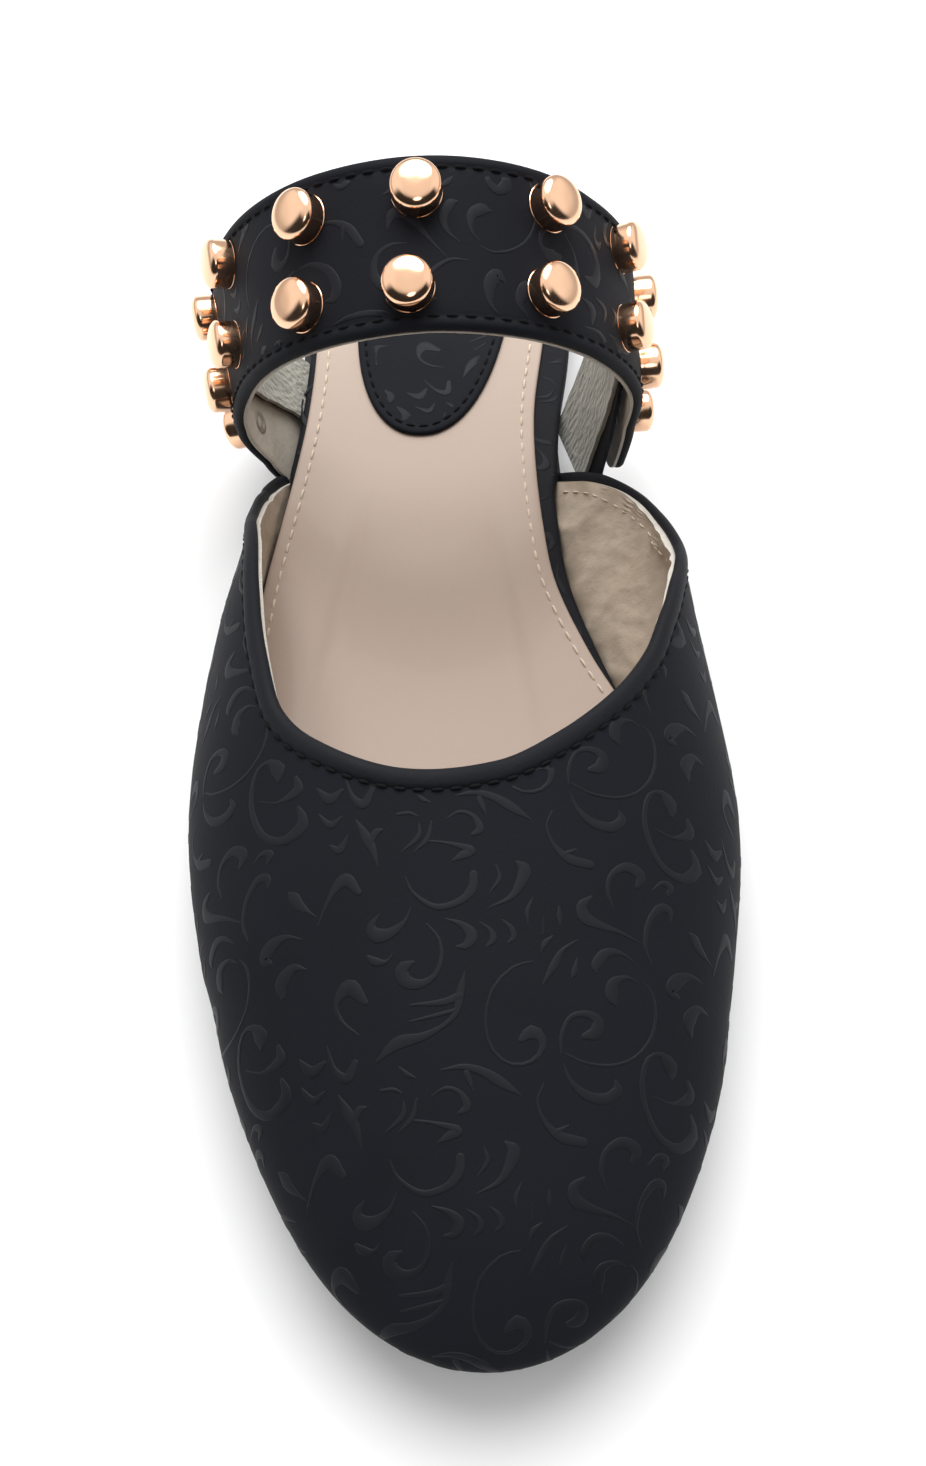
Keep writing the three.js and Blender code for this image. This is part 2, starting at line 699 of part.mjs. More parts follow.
// The inner tab stands at the edge of the board and leans out until it meets the inside of
// the strap, where its top lies along the strap.
function makeMedialTab() {
  const steps = 12;
  const middle = quarterEnd - 1 - medialTabWidth / 2;
  const edge = soleEdge(middle, 1, bedMargin) + 3 * clearance + tabThickness / 2;
  const foot = place(edge, middle, bedHeight(middle) + clearance + tabLift);
  const meeting = strapLength - medialTabReach;
  const top = strapPoint(meeting, medialTabShift, tabDepthInStrap);
  const bend = strapPoint(meeting + (top.z - foot.z) / 2, medialTabShift, tabDepthInStrap);
  bend.setX(mix(foot.x, bend.x, tabBend));
  const line = new THREE.QuadraticBezierCurve3(foot, bend, top);
  const footAcross = place(soleEdge(middle + 1, 1, 0), middle + 1, bedHeight(middle + 1))
    .sub(place(soleEdge(middle, 1, 0), middle, bedHeight(middle)));
  const rings = [];
  for (let k = 0; k <= steps; k++) {
    const up = k / steps;
    const across = footAcross.clone().lerp(strapFrame(meeting).across, up);
    const tangent = line.getTangent(up);
    across.addScaledVector(tangent, -across.dot(tangent)).normalize();
    const outward = tangent.clone().cross(across).normalize();
    const ring = [-1, 1].flatMap((skin) => [-skin, 0, skin].map((side) => line.getPoint(up)
      .addScaledVector(across, (side * medialTabWidth) / 2)
      .addScaledVector(outward, (skin * tabThickness) / 2)));
    rings.push(ring);
  }
  return toSolid(ringGeometry(rings));
}

// A stud: a short drum with a rounded shoulder and a slightly domed cap.
function makeStud() {
  const radius = studDiameter / 2;
  const profile = studRings.map(({ out, up }) => new THREE.Vector2(out * radius, up * studHeight));
  const stud = new THREE.LatheGeometry(profile, studSides);
  stud.rotateX(Math.PI / 2);
  return toSolid(stud);
}

// The distance along the strap at which it stands highest, where the middle studs sit.
function strapTop() {
  let best = 0;
  const looks = 200;
  for (let k = 0; k <= looks; k++) {
    const distance = (strapLength * k) / looks;
    if (strapPoint(distance, 0, 0).z > strapPoint(best, 0, 0).z) best = distance;
  }
  return best;
}

const strapSpace = makeStrap(clearance).add(makeLateralTab(clearance));
const footbed = makeLayer(clearance, bedThickness, bedInset, bedEnd, bedStops).subtract(strapSpace);
const sock = makeLayer(sockBase, sockThickness, sockInset, bedEnd + rimWidth / 4, bedStops);

addPiece('outsole', makeOutsole(), blackRubber);
addPiece('footbed', footbed, blackSuede);
addPiece('sock', sock.subtract(strapSpace), beigeLining);
addPiece('heel_patch', makePatch(), blackSuede);
addPiece('upper', makeUpper(), blackSuede);
addPiece('strap', makeStrap().subtract(soleSpace), blackSuede);
addPiece('tab_lateral', makeLateralTab().subtract(soleSpace), tabFelt);
addPiece('tab_medial', makeMedialTab().subtract(soleSpace), tabFelt);

const stud = makeStud();
const middleStud = strapTop();
const upright = new THREE.Vector3(0, 0, 1);
for (const { column, back, front } of studRows) {
  for (const [row, step, half] of [['back', back, -0.5], ['front', front, 0.5]]) {
    const distance = middleStud + step * studPitch;
    const side = studRowShift + half * studRowGap;
    const piece = addPiece(`stud_${row}_${column}`, stud, roseGold);
    piece.position.copy(strapPoint(distance, side, strapThickness / 2 + clearance));
    piece.quaternion.setFromUnitVectors(upright, strapFrame(distance).outward);
  }
}

// The middle of the whole shoe stands over the origin.
const bounds = new THREE.Box3().setFromObject(group);
const centre = bounds.getCenter(new THREE.Vector3());
group.children.forEach((piece) => {
  piece.position.x -= centre.x;
  piece.position.y -= centre.y;
  piece.position.z -= bounds.min.z;
});

export default group;
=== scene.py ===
import math

import bpy
import numpy as np
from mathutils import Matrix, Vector


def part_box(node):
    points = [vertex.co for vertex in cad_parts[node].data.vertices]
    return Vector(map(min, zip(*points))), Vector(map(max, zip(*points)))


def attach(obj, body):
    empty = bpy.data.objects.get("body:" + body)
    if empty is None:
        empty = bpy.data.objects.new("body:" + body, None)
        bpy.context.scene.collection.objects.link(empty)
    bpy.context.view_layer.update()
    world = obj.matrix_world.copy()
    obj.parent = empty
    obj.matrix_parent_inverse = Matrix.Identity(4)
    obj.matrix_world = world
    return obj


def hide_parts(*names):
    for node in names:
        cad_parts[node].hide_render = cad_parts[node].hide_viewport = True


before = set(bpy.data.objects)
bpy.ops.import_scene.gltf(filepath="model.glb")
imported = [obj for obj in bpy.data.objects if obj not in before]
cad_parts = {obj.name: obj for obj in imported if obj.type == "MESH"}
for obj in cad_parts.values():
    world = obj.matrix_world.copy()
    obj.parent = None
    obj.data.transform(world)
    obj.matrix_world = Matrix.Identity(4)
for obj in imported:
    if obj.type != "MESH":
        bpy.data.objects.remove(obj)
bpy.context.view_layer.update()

# A flat mule for the right foot. Lengths are millimetres until a mesh is made, and z is up. An
# along is a distance from the heel's end, and around runs over the last from its outer foot, -1,
# to its inner foot, 1.
millimetre = 0.001

shoe = dict(length=250.0, ballWidth=95.0, heelHeight=13.0, throatHeight=46.0, gap=0.3)
sole = dict(thickness=4.0, margin=0.5, toeSpring=7.0, toeTuck=2.5, toeRound=50.0, heelRound=28.0,
            breastAt=60.0, breastRun=3.0, heelTaper=1.5, edgeRound=1.2)
bed = dict(thickness=4.0, margin=1.2, rim=4.2, sock=1.0)
last = dict(wall=1.8, wideHeight=13.0, ridgeShare=0.54, footFlare=1.5, quarterEnd=87.0,
            wideShare=0.72)
half = shoe["ballWidth"] / 2
toeStart = shoe["length"] - sole["toeRound"]
swingRun = toeStart - last["quarterEnd"]

lastRows = dict(
    at=[0.32, 0.36, 0.40, 0.45, 0.51, 0.58, 0.64, 0.69, 0.76, 0.80, 0.90, 1.00],
    axis=[0, 0, 0, 0, 0, 0, 0, 0.005, 0.017, 0.032, 0.057, 0.070],
    lateral=[0.810, 0.825, 0.845, 0.875, 0.942, 0.987, 1.0, 0.985, 0.920, 0.868, 0.785, 0.768],
    medial=[0.560, 0.650, 0.745, 0.830, 0.892, 0.960, 1.0, 0.990, 0.922, 0.868, 0.785, 0.768],
    lateralRise=[0.70, 0.70, 0.75, 0.85, 0.95, 1.0, 1.0, 1.0, 1.0, 0.96, 0.80, 0.62],
    medialRise=[1.20, 1.25, 1.40, 1.45, 1.25, 1.08, 1.0, 1.0, 1.0, 0.96, 0.80, 0.62],
    crown=[1.61, 1.52, 1.43, 1.33, 1.23, 1.12, 1.04, 0.97, 0.88, 0.83, 0.69, 0.55])
soleRows = dict(
    at=[0, 0.11, 0.22, 0.28, 0.33, 0.39, 0.44, 0.50, 0.58, 0.64, 0.69, 0.76, 0.80, 0.90, 1.0],
    axis=[-0.095, -0.095, -0.095, -0.092, -0.085, -0.070, -0.055, -0.038, -0.017, 0, 0.003,
          0.017, 0.032, 0.057, 0.070],
    lateral=[0.600, 0.625, 0.612, 0.632, 0.674, 0.748, 0.812, 0.867, 0.916, 0.938, 0.928, 0.870,
             0.815, 0.728, 0.715],
    medial=[0.600, 0.625, 0.555, 0.515, 0.508, 0.518, 0.545, 0.640, 0.796, 0.893, 0.920, 0.870,
            0.815, 0.728, 0.715])
pitchRows = dict(
    at=[0, 0.20, 0.32, 0.44, 0.54, 0.60, 0.74, 0.82, 0.91, 1.0],
    heel=[1.04, 1.0, 0.74, 0.34, 0.07, 0, 0, 0, 0, 0],
    toe=[0, 0, 0, 0, 0, 0, 0, 0.14, 0.50, 1.0])
rimRows = dict(
    at=[0, 0.20, 0.42, 0.50, 0.56, 1.0],
    lateral=[0.55, 0.40, 0.34, 0.30, 0.25, 0.20],
    medial=[0.60, 0.95, 0.95, 0.72, 0.30, 0.20])
toplineRows = dict(
    around=[-1.00, -0.95, -0.89, -0.83, -0.77, -0.73, -0.69, -0.65, -0.61, -0.57, -0.53, -0.49,
            -0.45, -0.41, -0.39, -0.36, -0.31, -0.22, -0.09, 0.05, 0.15, 0.255, 0.34, 0.39, 0.43,
            0.47, 0.51, 0.55, 0.59, 0.63, 0.67, 0.71, 0.75, 0.79, 0.83, 0.87, 0.91, 0.95, 1.00],
    at=[0.3260, 0.3334, 0.3420, 0.3514, 0.3610, 0.3685, 0.3845, 0.4065, 0.4240, 0.4375, 0.4508,
        0.4675, 0.4900, 0.5240, 0.5450, 0.5740, 0.6170, 0.6470, 0.6670, 0.6630, 0.6420, 0.6090,
        0.5745, 0.5482, 0.5302, 0.5122, 0.4978, 0.4838, 0.4718, 0.4592, 0.4418, 0.4192, 0.3946,
        0.3735, 0.3590, 0.3500, 0.3430, 0.3364, 0.3280])


def readRow(rows, column, at, key="at"):
    # a cubic between two rows, whose slopes at the rows come from the rows on both sides
    xs, ys = np.array(rows[key], float), np.array(rows[column], float)
    at = np.asarray(at, float)
    slopes = np.empty_like(ys)
    slopes[1:-1] = (ys[2:] - ys[:-2]) / (xs[2:] - xs[:-2])
    slopes[0] = (ys[1] - ys[0]) / (xs[1] - xs[0])
    slopes[-1] = (ys[-1] - ys[-2]) / (xs[-1] - xs[-2])
    i = np.clip(np.searchsorted(xs, at, side="left") - 1, 0, len(xs) - 2)
    step = xs[i + 1] - xs[i]
    u = (at - xs[i]) / step
    rise = 3 * u ** 2 - 2 * u ** 3
    return (ys[i] + (ys[i + 1] - ys[i]) * rise + (u - 2 * u ** 2 + u ** 3) * step * slopes[i]
            + (u ** 3 - u ** 2) * step * slopes[i + 1])


def mix(a, b, share):
    # a straight blend from a to b
    return a + (b - a) * share


def unit(v):
    return v / np.maximum(np.linalg.norm(v, axis=-1, keepdims=True), 1e-9)


def spot(x, along, z):
    # the point at a distance along: y runs the other way, from the shoe's middle
    x, along, z = np.broadcast_arrays(x, along, z)
    return np.stack([x, shoe["length"] / 2 - along, z], -1).astype(float)


def bedHeight(along):
    # sole thickness, plus the heel's and the toe's share of their rise
    at = np.clip(np.asarray(along, float) / shoe["length"], 0, 1)
    heel = (shoe["heelHeight"] - sole["thickness"]) * readRow(pitchRows, "heel", at)
    return sole["thickness"] + heel + sole["toeSpring"] * readRow(pitchRows, "toe", at)


def soleEdge(along, side, inset, endInset):
    # half width of the table times a quarter circle at each end, drawn in by the inset
    along, side, inset, endInset = np.broadcast_arrays(along, side, inset, endInset)
    at = np.clip(along / shoe["length"], 0, 1)
    toeEnd = shoe["length"] - sole["toeTuck"] - endInset
    toeRun = np.clip((along - toeStart) / (toeEnd - toeStart), 0, 1)
    heelRun = np.clip((sole["heelRound"] - along) / (sole["heelRound"] - endInset), 0, 1)
    turn = np.sqrt(1 - toeRun ** 2) * np.sqrt(1 - heelRun ** 2)
    width = np.where(side < 0, readRow(soleRows, "lateral", at), readRow(soleRows, "medial", at))
    return half * readRow(soleRows, "axis", at) + side * (half * width - inset) * turn


# where the middle of the whole model lies: its solids stand over the middle of their own box
alongTest = np.linspace(130, 180, 501)
innerMost = soleEdge(alongTest, 1.0, -sole["margin"], -sole["margin"]).max()
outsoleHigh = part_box("outsole")[1]
middle = np.array([outsoleHigh.x / millimetre - innerMost,
                   outsoleHigh.y / millimetre - shoe["length"] / 2 - sole["margin"], 0.0])


# Meshes

def meshFrom(name, points, faces, material, slot, replaced=(), sharp=None):
    mesh = bpy.data.meshes.new(name)
    world = (np.asarray(points, float).reshape(-1, 3) + middle) * millimetre
    mesh.from_pydata(world, [], faces.tolist() if hasattr(faces, "tolist") else faces)
    mesh.polygons.foreach_set("use_smooth", np.full(len(mesh.polygons), True))
    mesh.update()
    mesh.materials.append(material)
    if sharp is not None:
        mesh.set_sharp_from_angle(angle=math.radians(sharp))
    piece = bpy.data.objects.new(name, mesh)
    bpy.context.scene.collection.objects.link(piece)
    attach(piece, "root")
    if replaced:
        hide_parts(*replaced)
    return mesh


def gridFaces(rows, columns, closed=False, start=0):
    # quads between neighbouring grid points, counted row by row; closed joins the last column
    # to the first
    r, c = [v.ravel() for v in np.meshgrid(
        np.arange(rows - 1), np.arange(columns if closed else columns - 1), indexing="ij")]
    low, high, beside = r * columns, (r + 1) * columns, (c + 1) % columns
    return np.stack([low + c, low + beside, high + beside, high + c], -1) + start


def outwards(points, faces):
    # turns all faces round if the volume that they enclose counts as negative
    p = points.reshape(-1, 3) - points.reshape(-1, 3).mean(0)
    a, b, c, d = [p[faces[:, k]] for k in range(4)]
    volume = (a * np.cross(b, c)).sum() + (a * np.cross(c, d)).sum()
    return faces[:, ::-1] if volume < 0 else faces


def tubeFaces(rings, capped=True):
    # closed rings one after another, with a face on each end
    rows, columns = rings.shape[:2]
    faces = outwards(rings, gridFaces(rows, columns, closed=True))
    flipped = faces[0][0] != 0
    out = faces.tolist()
    if capped:
        first = list(range(columns))
        final = list(range((rows - 1) * columns, rows * columns))
        out += [first if flipped else first[::-1], final[::-1] if flipped else final]
    return out


def manyTubes(tubes):
    # the faces of tubes of one size, whose points are counted one tube after another
    size = tubes.shape[1] * tubes.shape[2]
    return [[v + k * size for v in face] for k, rings in enumerate(tubes)
            for face in tubeFaces(rings)]


def doubleSheet(front, back, foldLast=False):
    # a closed skin from two grids: the front, the back turned round, and strips at the edges,
    # the one at the first row before the others
    rows, columns = front.shape[:2]
    count, low = rows * columns, (rows - 1) * columns
    r, c = np.arange(rows - 1) * columns, np.arange(columns - 1)
    strip = lambda a, b: np.stack([a, b, b + count, a + count], -1)
    parts = [gridFaces(rows, columns), gridFaces(rows, columns, start=count)[:, ::-1],
             strip(c + 1, c), strip(r, r + columns), strip(r + 2 * columns - 1, r + columns - 1)]
    if not foldLast:
        parts.append(strip(c + low, c + 1 + low))
    faces = np.concatenate(parts)
    points = np.concatenate([front.reshape(-1, 3), back.reshape(-1, 3)])
    if foldLast:        # the last row is folded on itself: its halves share their points
        k = np.arange(columns)
        twin = np.arange(2 * count)
        for base in (low, low + count):
            twin[base + k] = base + np.minimum(k, columns - 1 - k)
        faces = twin[faces]
    return points, outwards(points, faces)


# The last's body

def lastPoint(swing, around):
    # a rib from foot to widest line to ridge: a flare below, a quarter ellipse above
    swing, around = np.broadcast_arrays(np.asarray(swing, float), np.asarray(around, float))
    side = np.where(around < 0, -1.0, 1.0)
    toe, back = np.clip(swing - 1, 0, 1), np.minimum(swing, 1)
    turn = np.sin(toe * np.pi / 2)
    straight = mix(last["quarterEnd"], toeStart, back)
    wideAlong = straight + sole["toeRound"] * turn
    footAlong = straight + (sole["toeRound"] - sole["toeTuck"]) * turn
    ridgeAlong = straight + sole["toeRound"] * (turn - (1 - last["ridgeShare"]) * turn ** 2)
    at = wideAlong / shoe["length"]
    pick = lambda end: np.where(side < 0, readRow(lastRows, "lateral" + end, at),
                                readRow(lastRows, "medial" + end, at))
    wideX = half * (readRow(lastRows, "axis", at) + side * pick("") * np.cos(toe * np.pi / 2))
    base = bedHeight(footAlong) + shoe["gap"]
    footX = soleEdge(footAlong, side, 0.0, 0.0)
    ridgeX = half * readRow(lastRows, "axis", ridgeAlong / shoe["length"])
    wideZ = base + last["wideHeight"] * pick("Rise")
    reach = np.abs(around)
    up = np.clip((1 - reach) / (1 - last["wideShare"]), 0, 1)
    out = 1 - (1 - up ** last["footFlare"]) ** 2
    arc = np.clip(1 - reach / last["wideShare"], 0, 1) * np.pi / 2
    inward, upward = 1 - np.cos(arc), np.sin(arc)
    highX, highAlong = mix(wideX, ridgeX, inward), mix(wideAlong, ridgeAlong, inward)
    crown = shoe["throatHeight"] * readRow(lastRows, "crown", highAlong / shoe["length"])
    low = reach > last["wideShare"]
    return spot(np.where(low, mix(footX, wideX, out), highX),
                np.where(low, mix(footAlong, wideAlong, out), highAlong),
                np.where(low, mix(base, wideZ, up), mix(wideZ, crown, upward)))


def lastNormal(swing, around):
    # across both directions of the surface, taken from points close by
    swing, around = np.broadcast_arrays(np.asarray(swing, float), np.asarray(around, float))
    nudge = 0.01
    near = np.minimum(swing, 2 - nudge)
    run = lastPoint(near + nudge, around) - lastPoint(near - nudge, around)
    rise = lastPoint(near, np.minimum(around + nudge, 1)) - lastPoint(near, np.maximum(
        around - nudge, -1))
    normal = np.cross(run, rise)
    normal[..., 0] = np.where(swing >= 2, 0, normal[..., 0])
    return unit(normal)


def toplineSwing(around):
    # how far forward the topline passes at each share of the way round
    at = readRow(toplineRows, "at", around, key="around")
    return (at * shoe["length"] - last["quarterEnd"]) / swingRun


def lastGrid(rows, columns, lift, drop=0.0, pace=1.0):
    # columns go round from the outer foot to the inner one, rows from the topline to the toe.
    # A pace over 1 sets the rows closer together near the topline.
    around = np.linspace(-1, 1, columns)[None, :]
    start = toplineSwing(around) + drop / swingRun
    t = np.linspace(0, 1, rows)[:, None] ** pace
    swing = np.where(t >= 1, 2.0, start + t * (2 - start))
    swing, around = np.broadcast_arrays(swing, around)
    return lastPoint(swing, around) + lift * lastNormal(swing, around), swing, around


def slide(swing, around, move):
    # the last's point nearest to a point moved off it: the gap that is left is shared between
    # swing and around by least squares, three times over
    target = lastPoint(swing, around) + move
    nudge = 0.004
    for _ in range(3):
        run = (lastPoint(swing + nudge, around) - lastPoint(swing - nudge, around)) / (2 * nudge)
        rise = (lastPoint(swing, around + nudge) - lastPoint(swing, around - nudge)) / (2 * nudge)
        left = target - lastPoint(swing, around)
        rr, ra, aa = (run * run).sum(-1), (run * rise).sum(-1), (rise * rise).sum(-1)
        lr, la = (left * run).sum(-1), (left * rise).sum(-1)
        swing = swing + (lr * aa - la * ra) / (rr * aa - ra ** 2)
        around = around + (la * rr - lr * ra) / (rr * aa - ra ** 2)
    return swing, around


# The strap's middle line and its frame

strap = dict(width=28.0, thickness=2.4, rise=69.0, span=74.0, middle=-5.4, seat=70.8, lean=20.0,
             overhang=0.7, endRound=6.0, footDrop=1.2)
strapRows = dict(
    out=[-0.93, -1.05, -0.955, -0.73, -0.41, 0, 0.41, 0.72, 0.945, 0.975, 0.935],
    up=[0.12, 0.34, 0.60, 0.815, 0.95, 1.0, 0.95, 0.815, 0.60, 0.33, 0.03],
    ahead=[0.04, 0.24, 0.57, 0.87, 1.05, 1.08, 0.99, 0.78, 0.48, 0.17, -0.05],
    tilt=[12, 24, 28, 27, 25, 24, 25, 28, 30, 30, 30],
    skew=[5, 11, 8, 4, 3, 3, 5, 8, 5, 4, 6])


def strapKnots():
    seat, hw = strap["seat"], strap["width"] / 2
    edge = lambda along: float(soleEdge(along, -1.0, 0.0, 0.0))
    base = float(bedHeight(seat)) + shoe["gap"]
    foot = spot(edge(seat) - strap["overhang"] + strap["thickness"] / 2, seat,
                base - strap["footDrop"])
    tilt = math.atan(float(bedHeight(seat - hw) - bedHeight(seat + hw)) / strap["width"])
    skew = math.atan((edge(seat + hw) - edge(seat - hw)) / strap["width"])
    rows = {k: np.array(v, float) for k, v in strapRows.items()}
    rest = spot(strap["middle"] + rows["out"] * strap["span"] / 2,
                seat + rows["ahead"] * strap["lean"], base + rows["up"] * strap["rise"])
    return (np.vstack([foot[None], rest]), np.append(tilt, np.radians(rows["tilt"])),
            np.append(skew, np.radians(rows["skew"])))


knots, knotTilt, knotSkew = strapKnots()


def splinePoint(points, turn):
    # centripetal cubic through the knots: each gap counts as the root of its length
    p = np.vstack([2 * points[0] - points[1], points, 2 * points[-1] - points[-2]])
    gaps = np.sqrt(np.linalg.norm(np.diff(p, axis=0), axis=1))
    k = np.clip(np.floor(turn).astype(int), 0, len(points) - 2)
    u = (turn - k)[..., None]
    d0, d1, d2 = [gaps[k + n][..., None] for n in range(3)]
    p0, p1, p2, p3 = [p[k + n] for n in range(4)]
    leave = ((p1 - p0) / d0 - (p2 - p0) / (d0 + d1) + (p2 - p1) / d1) * d1
    arrive = ((p2 - p1) / d1 - (p3 - p1) / (d1 + d2) + (p3 - p2) / d2) * d1
    return (p1 + leave * u + (-3 * p1 + 3 * p2 - 2 * leave - arrive) * u ** 2
            + (2 * p1 - 2 * p2 + leave + arrive) * u ** 3)


turnTable = np.linspace(0, len(knots) - 1, 1601)
lineTable = splinePoint(knots, turnTable)
reachTable = np.append(0, np.cumsum(np.linalg.norm(np.diff(lineTable, axis=0), axis=1)))
strapLength = float(reachTable[-1])


def strapFrame(distance):
    # point on the middle line, way along, way across to the front edge, way out
    distance = np.clip(np.asarray(distance, float), 0, strapLength)
    turn = np.interp(distance, reachTable, turnTable)
    tilt = np.interp(turn, np.arange(len(knots)), knotTilt)
    skew = np.interp(turn, np.arange(len(knots)), knotSkew)
    point = splinePoint(knots, turn)
    nudge = 0.02
    tangent = unit(splinePoint(knots, np.minimum(turn + nudge, len(knots) - 1))
                   - splinePoint(knots, np.maximum(turn - nudge, 0)))
    across = np.stack([np.sin(skew), -np.cos(tilt), -np.sin(tilt)], -1)
    across = unit(across - (across * tangent).sum(-1, keepdims=True) * tangent)
    return point, tangent, across, np.cross(across, tangent)


def strapPoint(distance, side, out):
    # the middle line's point, moved sideways and outwards in its own frame
    distance, side, out = np.broadcast_arrays(distance, side, out)
    point, _, across, outward = strapFrame(distance)
    return point + across * side[..., None] + outward * out[..., None]


print("shoe sizes read; strap is %.1f mm long" % strapLength)

# Materials

def nodeTools(tree):
    def add(kind, **values):
        node = tree.nodes.new(kind)
        inputs = values.pop("inputs", {})
        for key, value in values.items():
            setattr(node, key, value)
        for key, value in inputs.items():
            if isinstance(value, bpy.types.NodeSocket):
                tree.links.new(value, node.inputs[key])
            else:
                node.inputs[key].default_value = value
        return node

    def calc(operation, *values, **more):
        values = dict(enumerate(values))
        return add("ShaderNodeMath", operation=operation, inputs=values, **more).outputs[0]

    return add, calc


def newGroup(name, inputs, outputs):
    group = bpy.data.node_groups.new(name, "ShaderNodeTree")
    for label, value in inputs.items():
        kind = "NodeSocketColor" if isinstance(value, tuple) else "NodeSocketFloat"
        socket = group.interface.new_socket(label, in_out="INPUT", socket_type=kind)
        socket.default_value = value
    for label, kind in outputs.items():
        group.interface.new_socket(label, in_out="OUTPUT", socket_type=kind)
    add, calc = nodeTools(group)
    return group, add, calc, add("NodeGroupInput").outputs, add("NodeGroupOutput").inputs


def leatherGroup():
    # grain from fine cells, nap from stretched noise, and slow patches of shade
    group, add, calc, given, wanted = newGroup("leather grain", dict(
        Color=(0.02, 0.02, 0.02, 1), Faded=(0.04, 0.04, 0.04, 1), Scale=900.0, Patches=35.0,
        Depth=0.5, Rough=0.7, Spread=0.12, Stretch=1.0),
        dict(Color="NodeSocketColor", Roughness="NodeSocketFloat", Height="NodeSocketFloat"))
    stretch = add("ShaderNodeCombineXYZ", inputs={0: 1.0, 1: 1.0, 2: given["Stretch"]})
    place = add("ShaderNodeVectorMath", operation="MULTIPLY", inputs={
        0: add("ShaderNodeTexCoord").outputs["Object"], 1: stretch.outputs["Vector"]})
    place = place.outputs["Vector"]
    cells = add("ShaderNodeTexVoronoi", feature="SMOOTH_F1", inputs={
        "Vector": place, "Scale": given["Scale"], "Smoothness": 0.6, "Randomness": 1.0})

    def noise(scale, detail, rough):
        return add("ShaderNodeTexNoise", inputs={
            "Vector": place, "Scale": given[scale], "Detail": detail,
            "Roughness": rough}).outputs["Fac"]

    nap, slow = noise("Scale", 4.0, 0.7), noise("Patches", 5.0, 0.6)
    shade = add("ShaderNodeMapRange", inputs={"Value": slow, "From Min": 0.35, "From Max": 0.7})
    blend = calc("ADD", calc("MULTIPLY", nap, 0.45), shade.outputs[0], use_clamp=True)
    colour = add("ShaderNodeMix", data_type="RGBA", inputs={
        "Factor": calc("MULTIPLY", blend, 0.6), "A": given["Color"], "B": given["Faded"]})
    wave = calc("MULTIPLY_ADD", blend, given["Spread"], given["Rough"])
    height = calc("MULTIPLY", calc("ADD", cells.outputs["Distance"], nap), given["Depth"])
    for result, label in ((colour.outputs["Result"], "Color"), (wave, "Roughness"),
                          (height, "Height")):
        group.links.new(result, wanted[label])
    return group


leatherGrain = leatherGroup()


def grainMaterial(name, colour, faded, bump=0.3, bumpDistance=0.00012, specular=0.4, sheen=0.0,
                  coat=0.0, metal=0.0, **grainLook):
    material = bpy.data.materials.new(name)
    material.use_nodes = True
    tree = material.node_tree
    tree.nodes.clear()
    add, _ = nodeTools(tree)
    grain = add("ShaderNodeGroup", node_tree=leatherGrain, inputs={
        "Color": (*colour, 1), "Faded": (*faded, 1), **grainLook})
    relief = add("ShaderNodeBump", inputs={
        "Height": grain.outputs["Height"], "Strength": bump, "Distance": bumpDistance})
    shader = add("ShaderNodeBsdfPrincipled", inputs={
        "Base Color": grain.outputs["Color"], "Roughness": grain.outputs["Roughness"],
        "Normal": relief.outputs["Normal"], "Specular IOR Level": specular,
        "Sheen Weight": sheen, "Sheen Roughness": 0.45, "Coat Weight": coat,
        "Metallic": metal})
    add("ShaderNodeOutputMaterial", inputs={"Surface": shader.outputs["BSDF"]})
    return material


napBlack = grainMaterial("black nubuck", (0.0047, 0.0054, 0.0084), (0.01, 0.011, 0.0156),
    Scale=1600.0, Patches=28.0, Depth=0.5, Rough=0.62, Spread=0.14, bump=0.35, sheen=0.02,
    specular=0.13)
reliefBlack = grainMaterial("black nubuck relief", (0.0062, 0.0069, 0.01), (0.0122, 0.0132, 0.018),
    Scale=1600.0, Patches=40.0, Depth=0.4, Rough=0.48, Spread=0.12, bump=0.2, sheen=0.02,
    specular=0.17)
edgeBlack = grainMaterial("black folded edge", (0.0054, 0.0058, 0.008), (0.0112, 0.0118, 0.0156),
    Scale=1300.0, Patches=60.0, Depth=0.6, Rough=0.58, Spread=0.16, bump=0.45, sheen=0.02,
    specular=0.17)
threadBlack = grainMaterial("black thread", (0.0034, 0.0036, 0.0044), (0.007, 0.0072, 0.0085),
    Scale=3000.0, Patches=300.0, Depth=0.8, Rough=0.85, Spread=0.1, bump=0.5, specular=0.2)
threadCream = grainMaterial("cream thread", (0.66, 0.54, 0.42), (0.78, 0.67, 0.54), Scale=3000.0,
    Patches=300.0, Depth=0.8, Rough=0.6, Spread=0.1, bump=0.5, specular=0.4)
sockBeige = grainMaterial("beige sock lining", (0.412, 0.314, 0.251), (0.46, 0.359, 0.294),
    Scale=1400.0, Patches=18.0, Depth=0.35, Rough=0.42, Spread=0.14, bump=0.18, specular=0.42,
    coat=0.05)
liningBeige = grainMaterial("beige quarter lining", (0.45, 0.36, 0.275), (0.58, 0.48, 0.38),
    Scale=420.0, Patches=120.0, Depth=0.9, Rough=0.55, Spread=0.2, Stretch=0.55, bump=0.5,
    specular=0.35, bumpDistance=0.0006)
liningGrey = grainMaterial("grey strap lining", (0.36, 0.32, 0.27), (0.52, 0.47, 0.4), Scale=900.0,
    Patches=90.0, Depth=0.8, Rough=0.55, Spread=0.2, bump=0.6, specular=0.35, bumpDistance=0.0002)
rawEdge = grainMaterial("raw lining edge", (0.56, 0.52, 0.46), (0.72, 0.68, 0.61), Scale=2500.0,
    Patches=500.0, Depth=1.0, Rough=0.85, Spread=0.1, bump=0.8, specular=0.2)
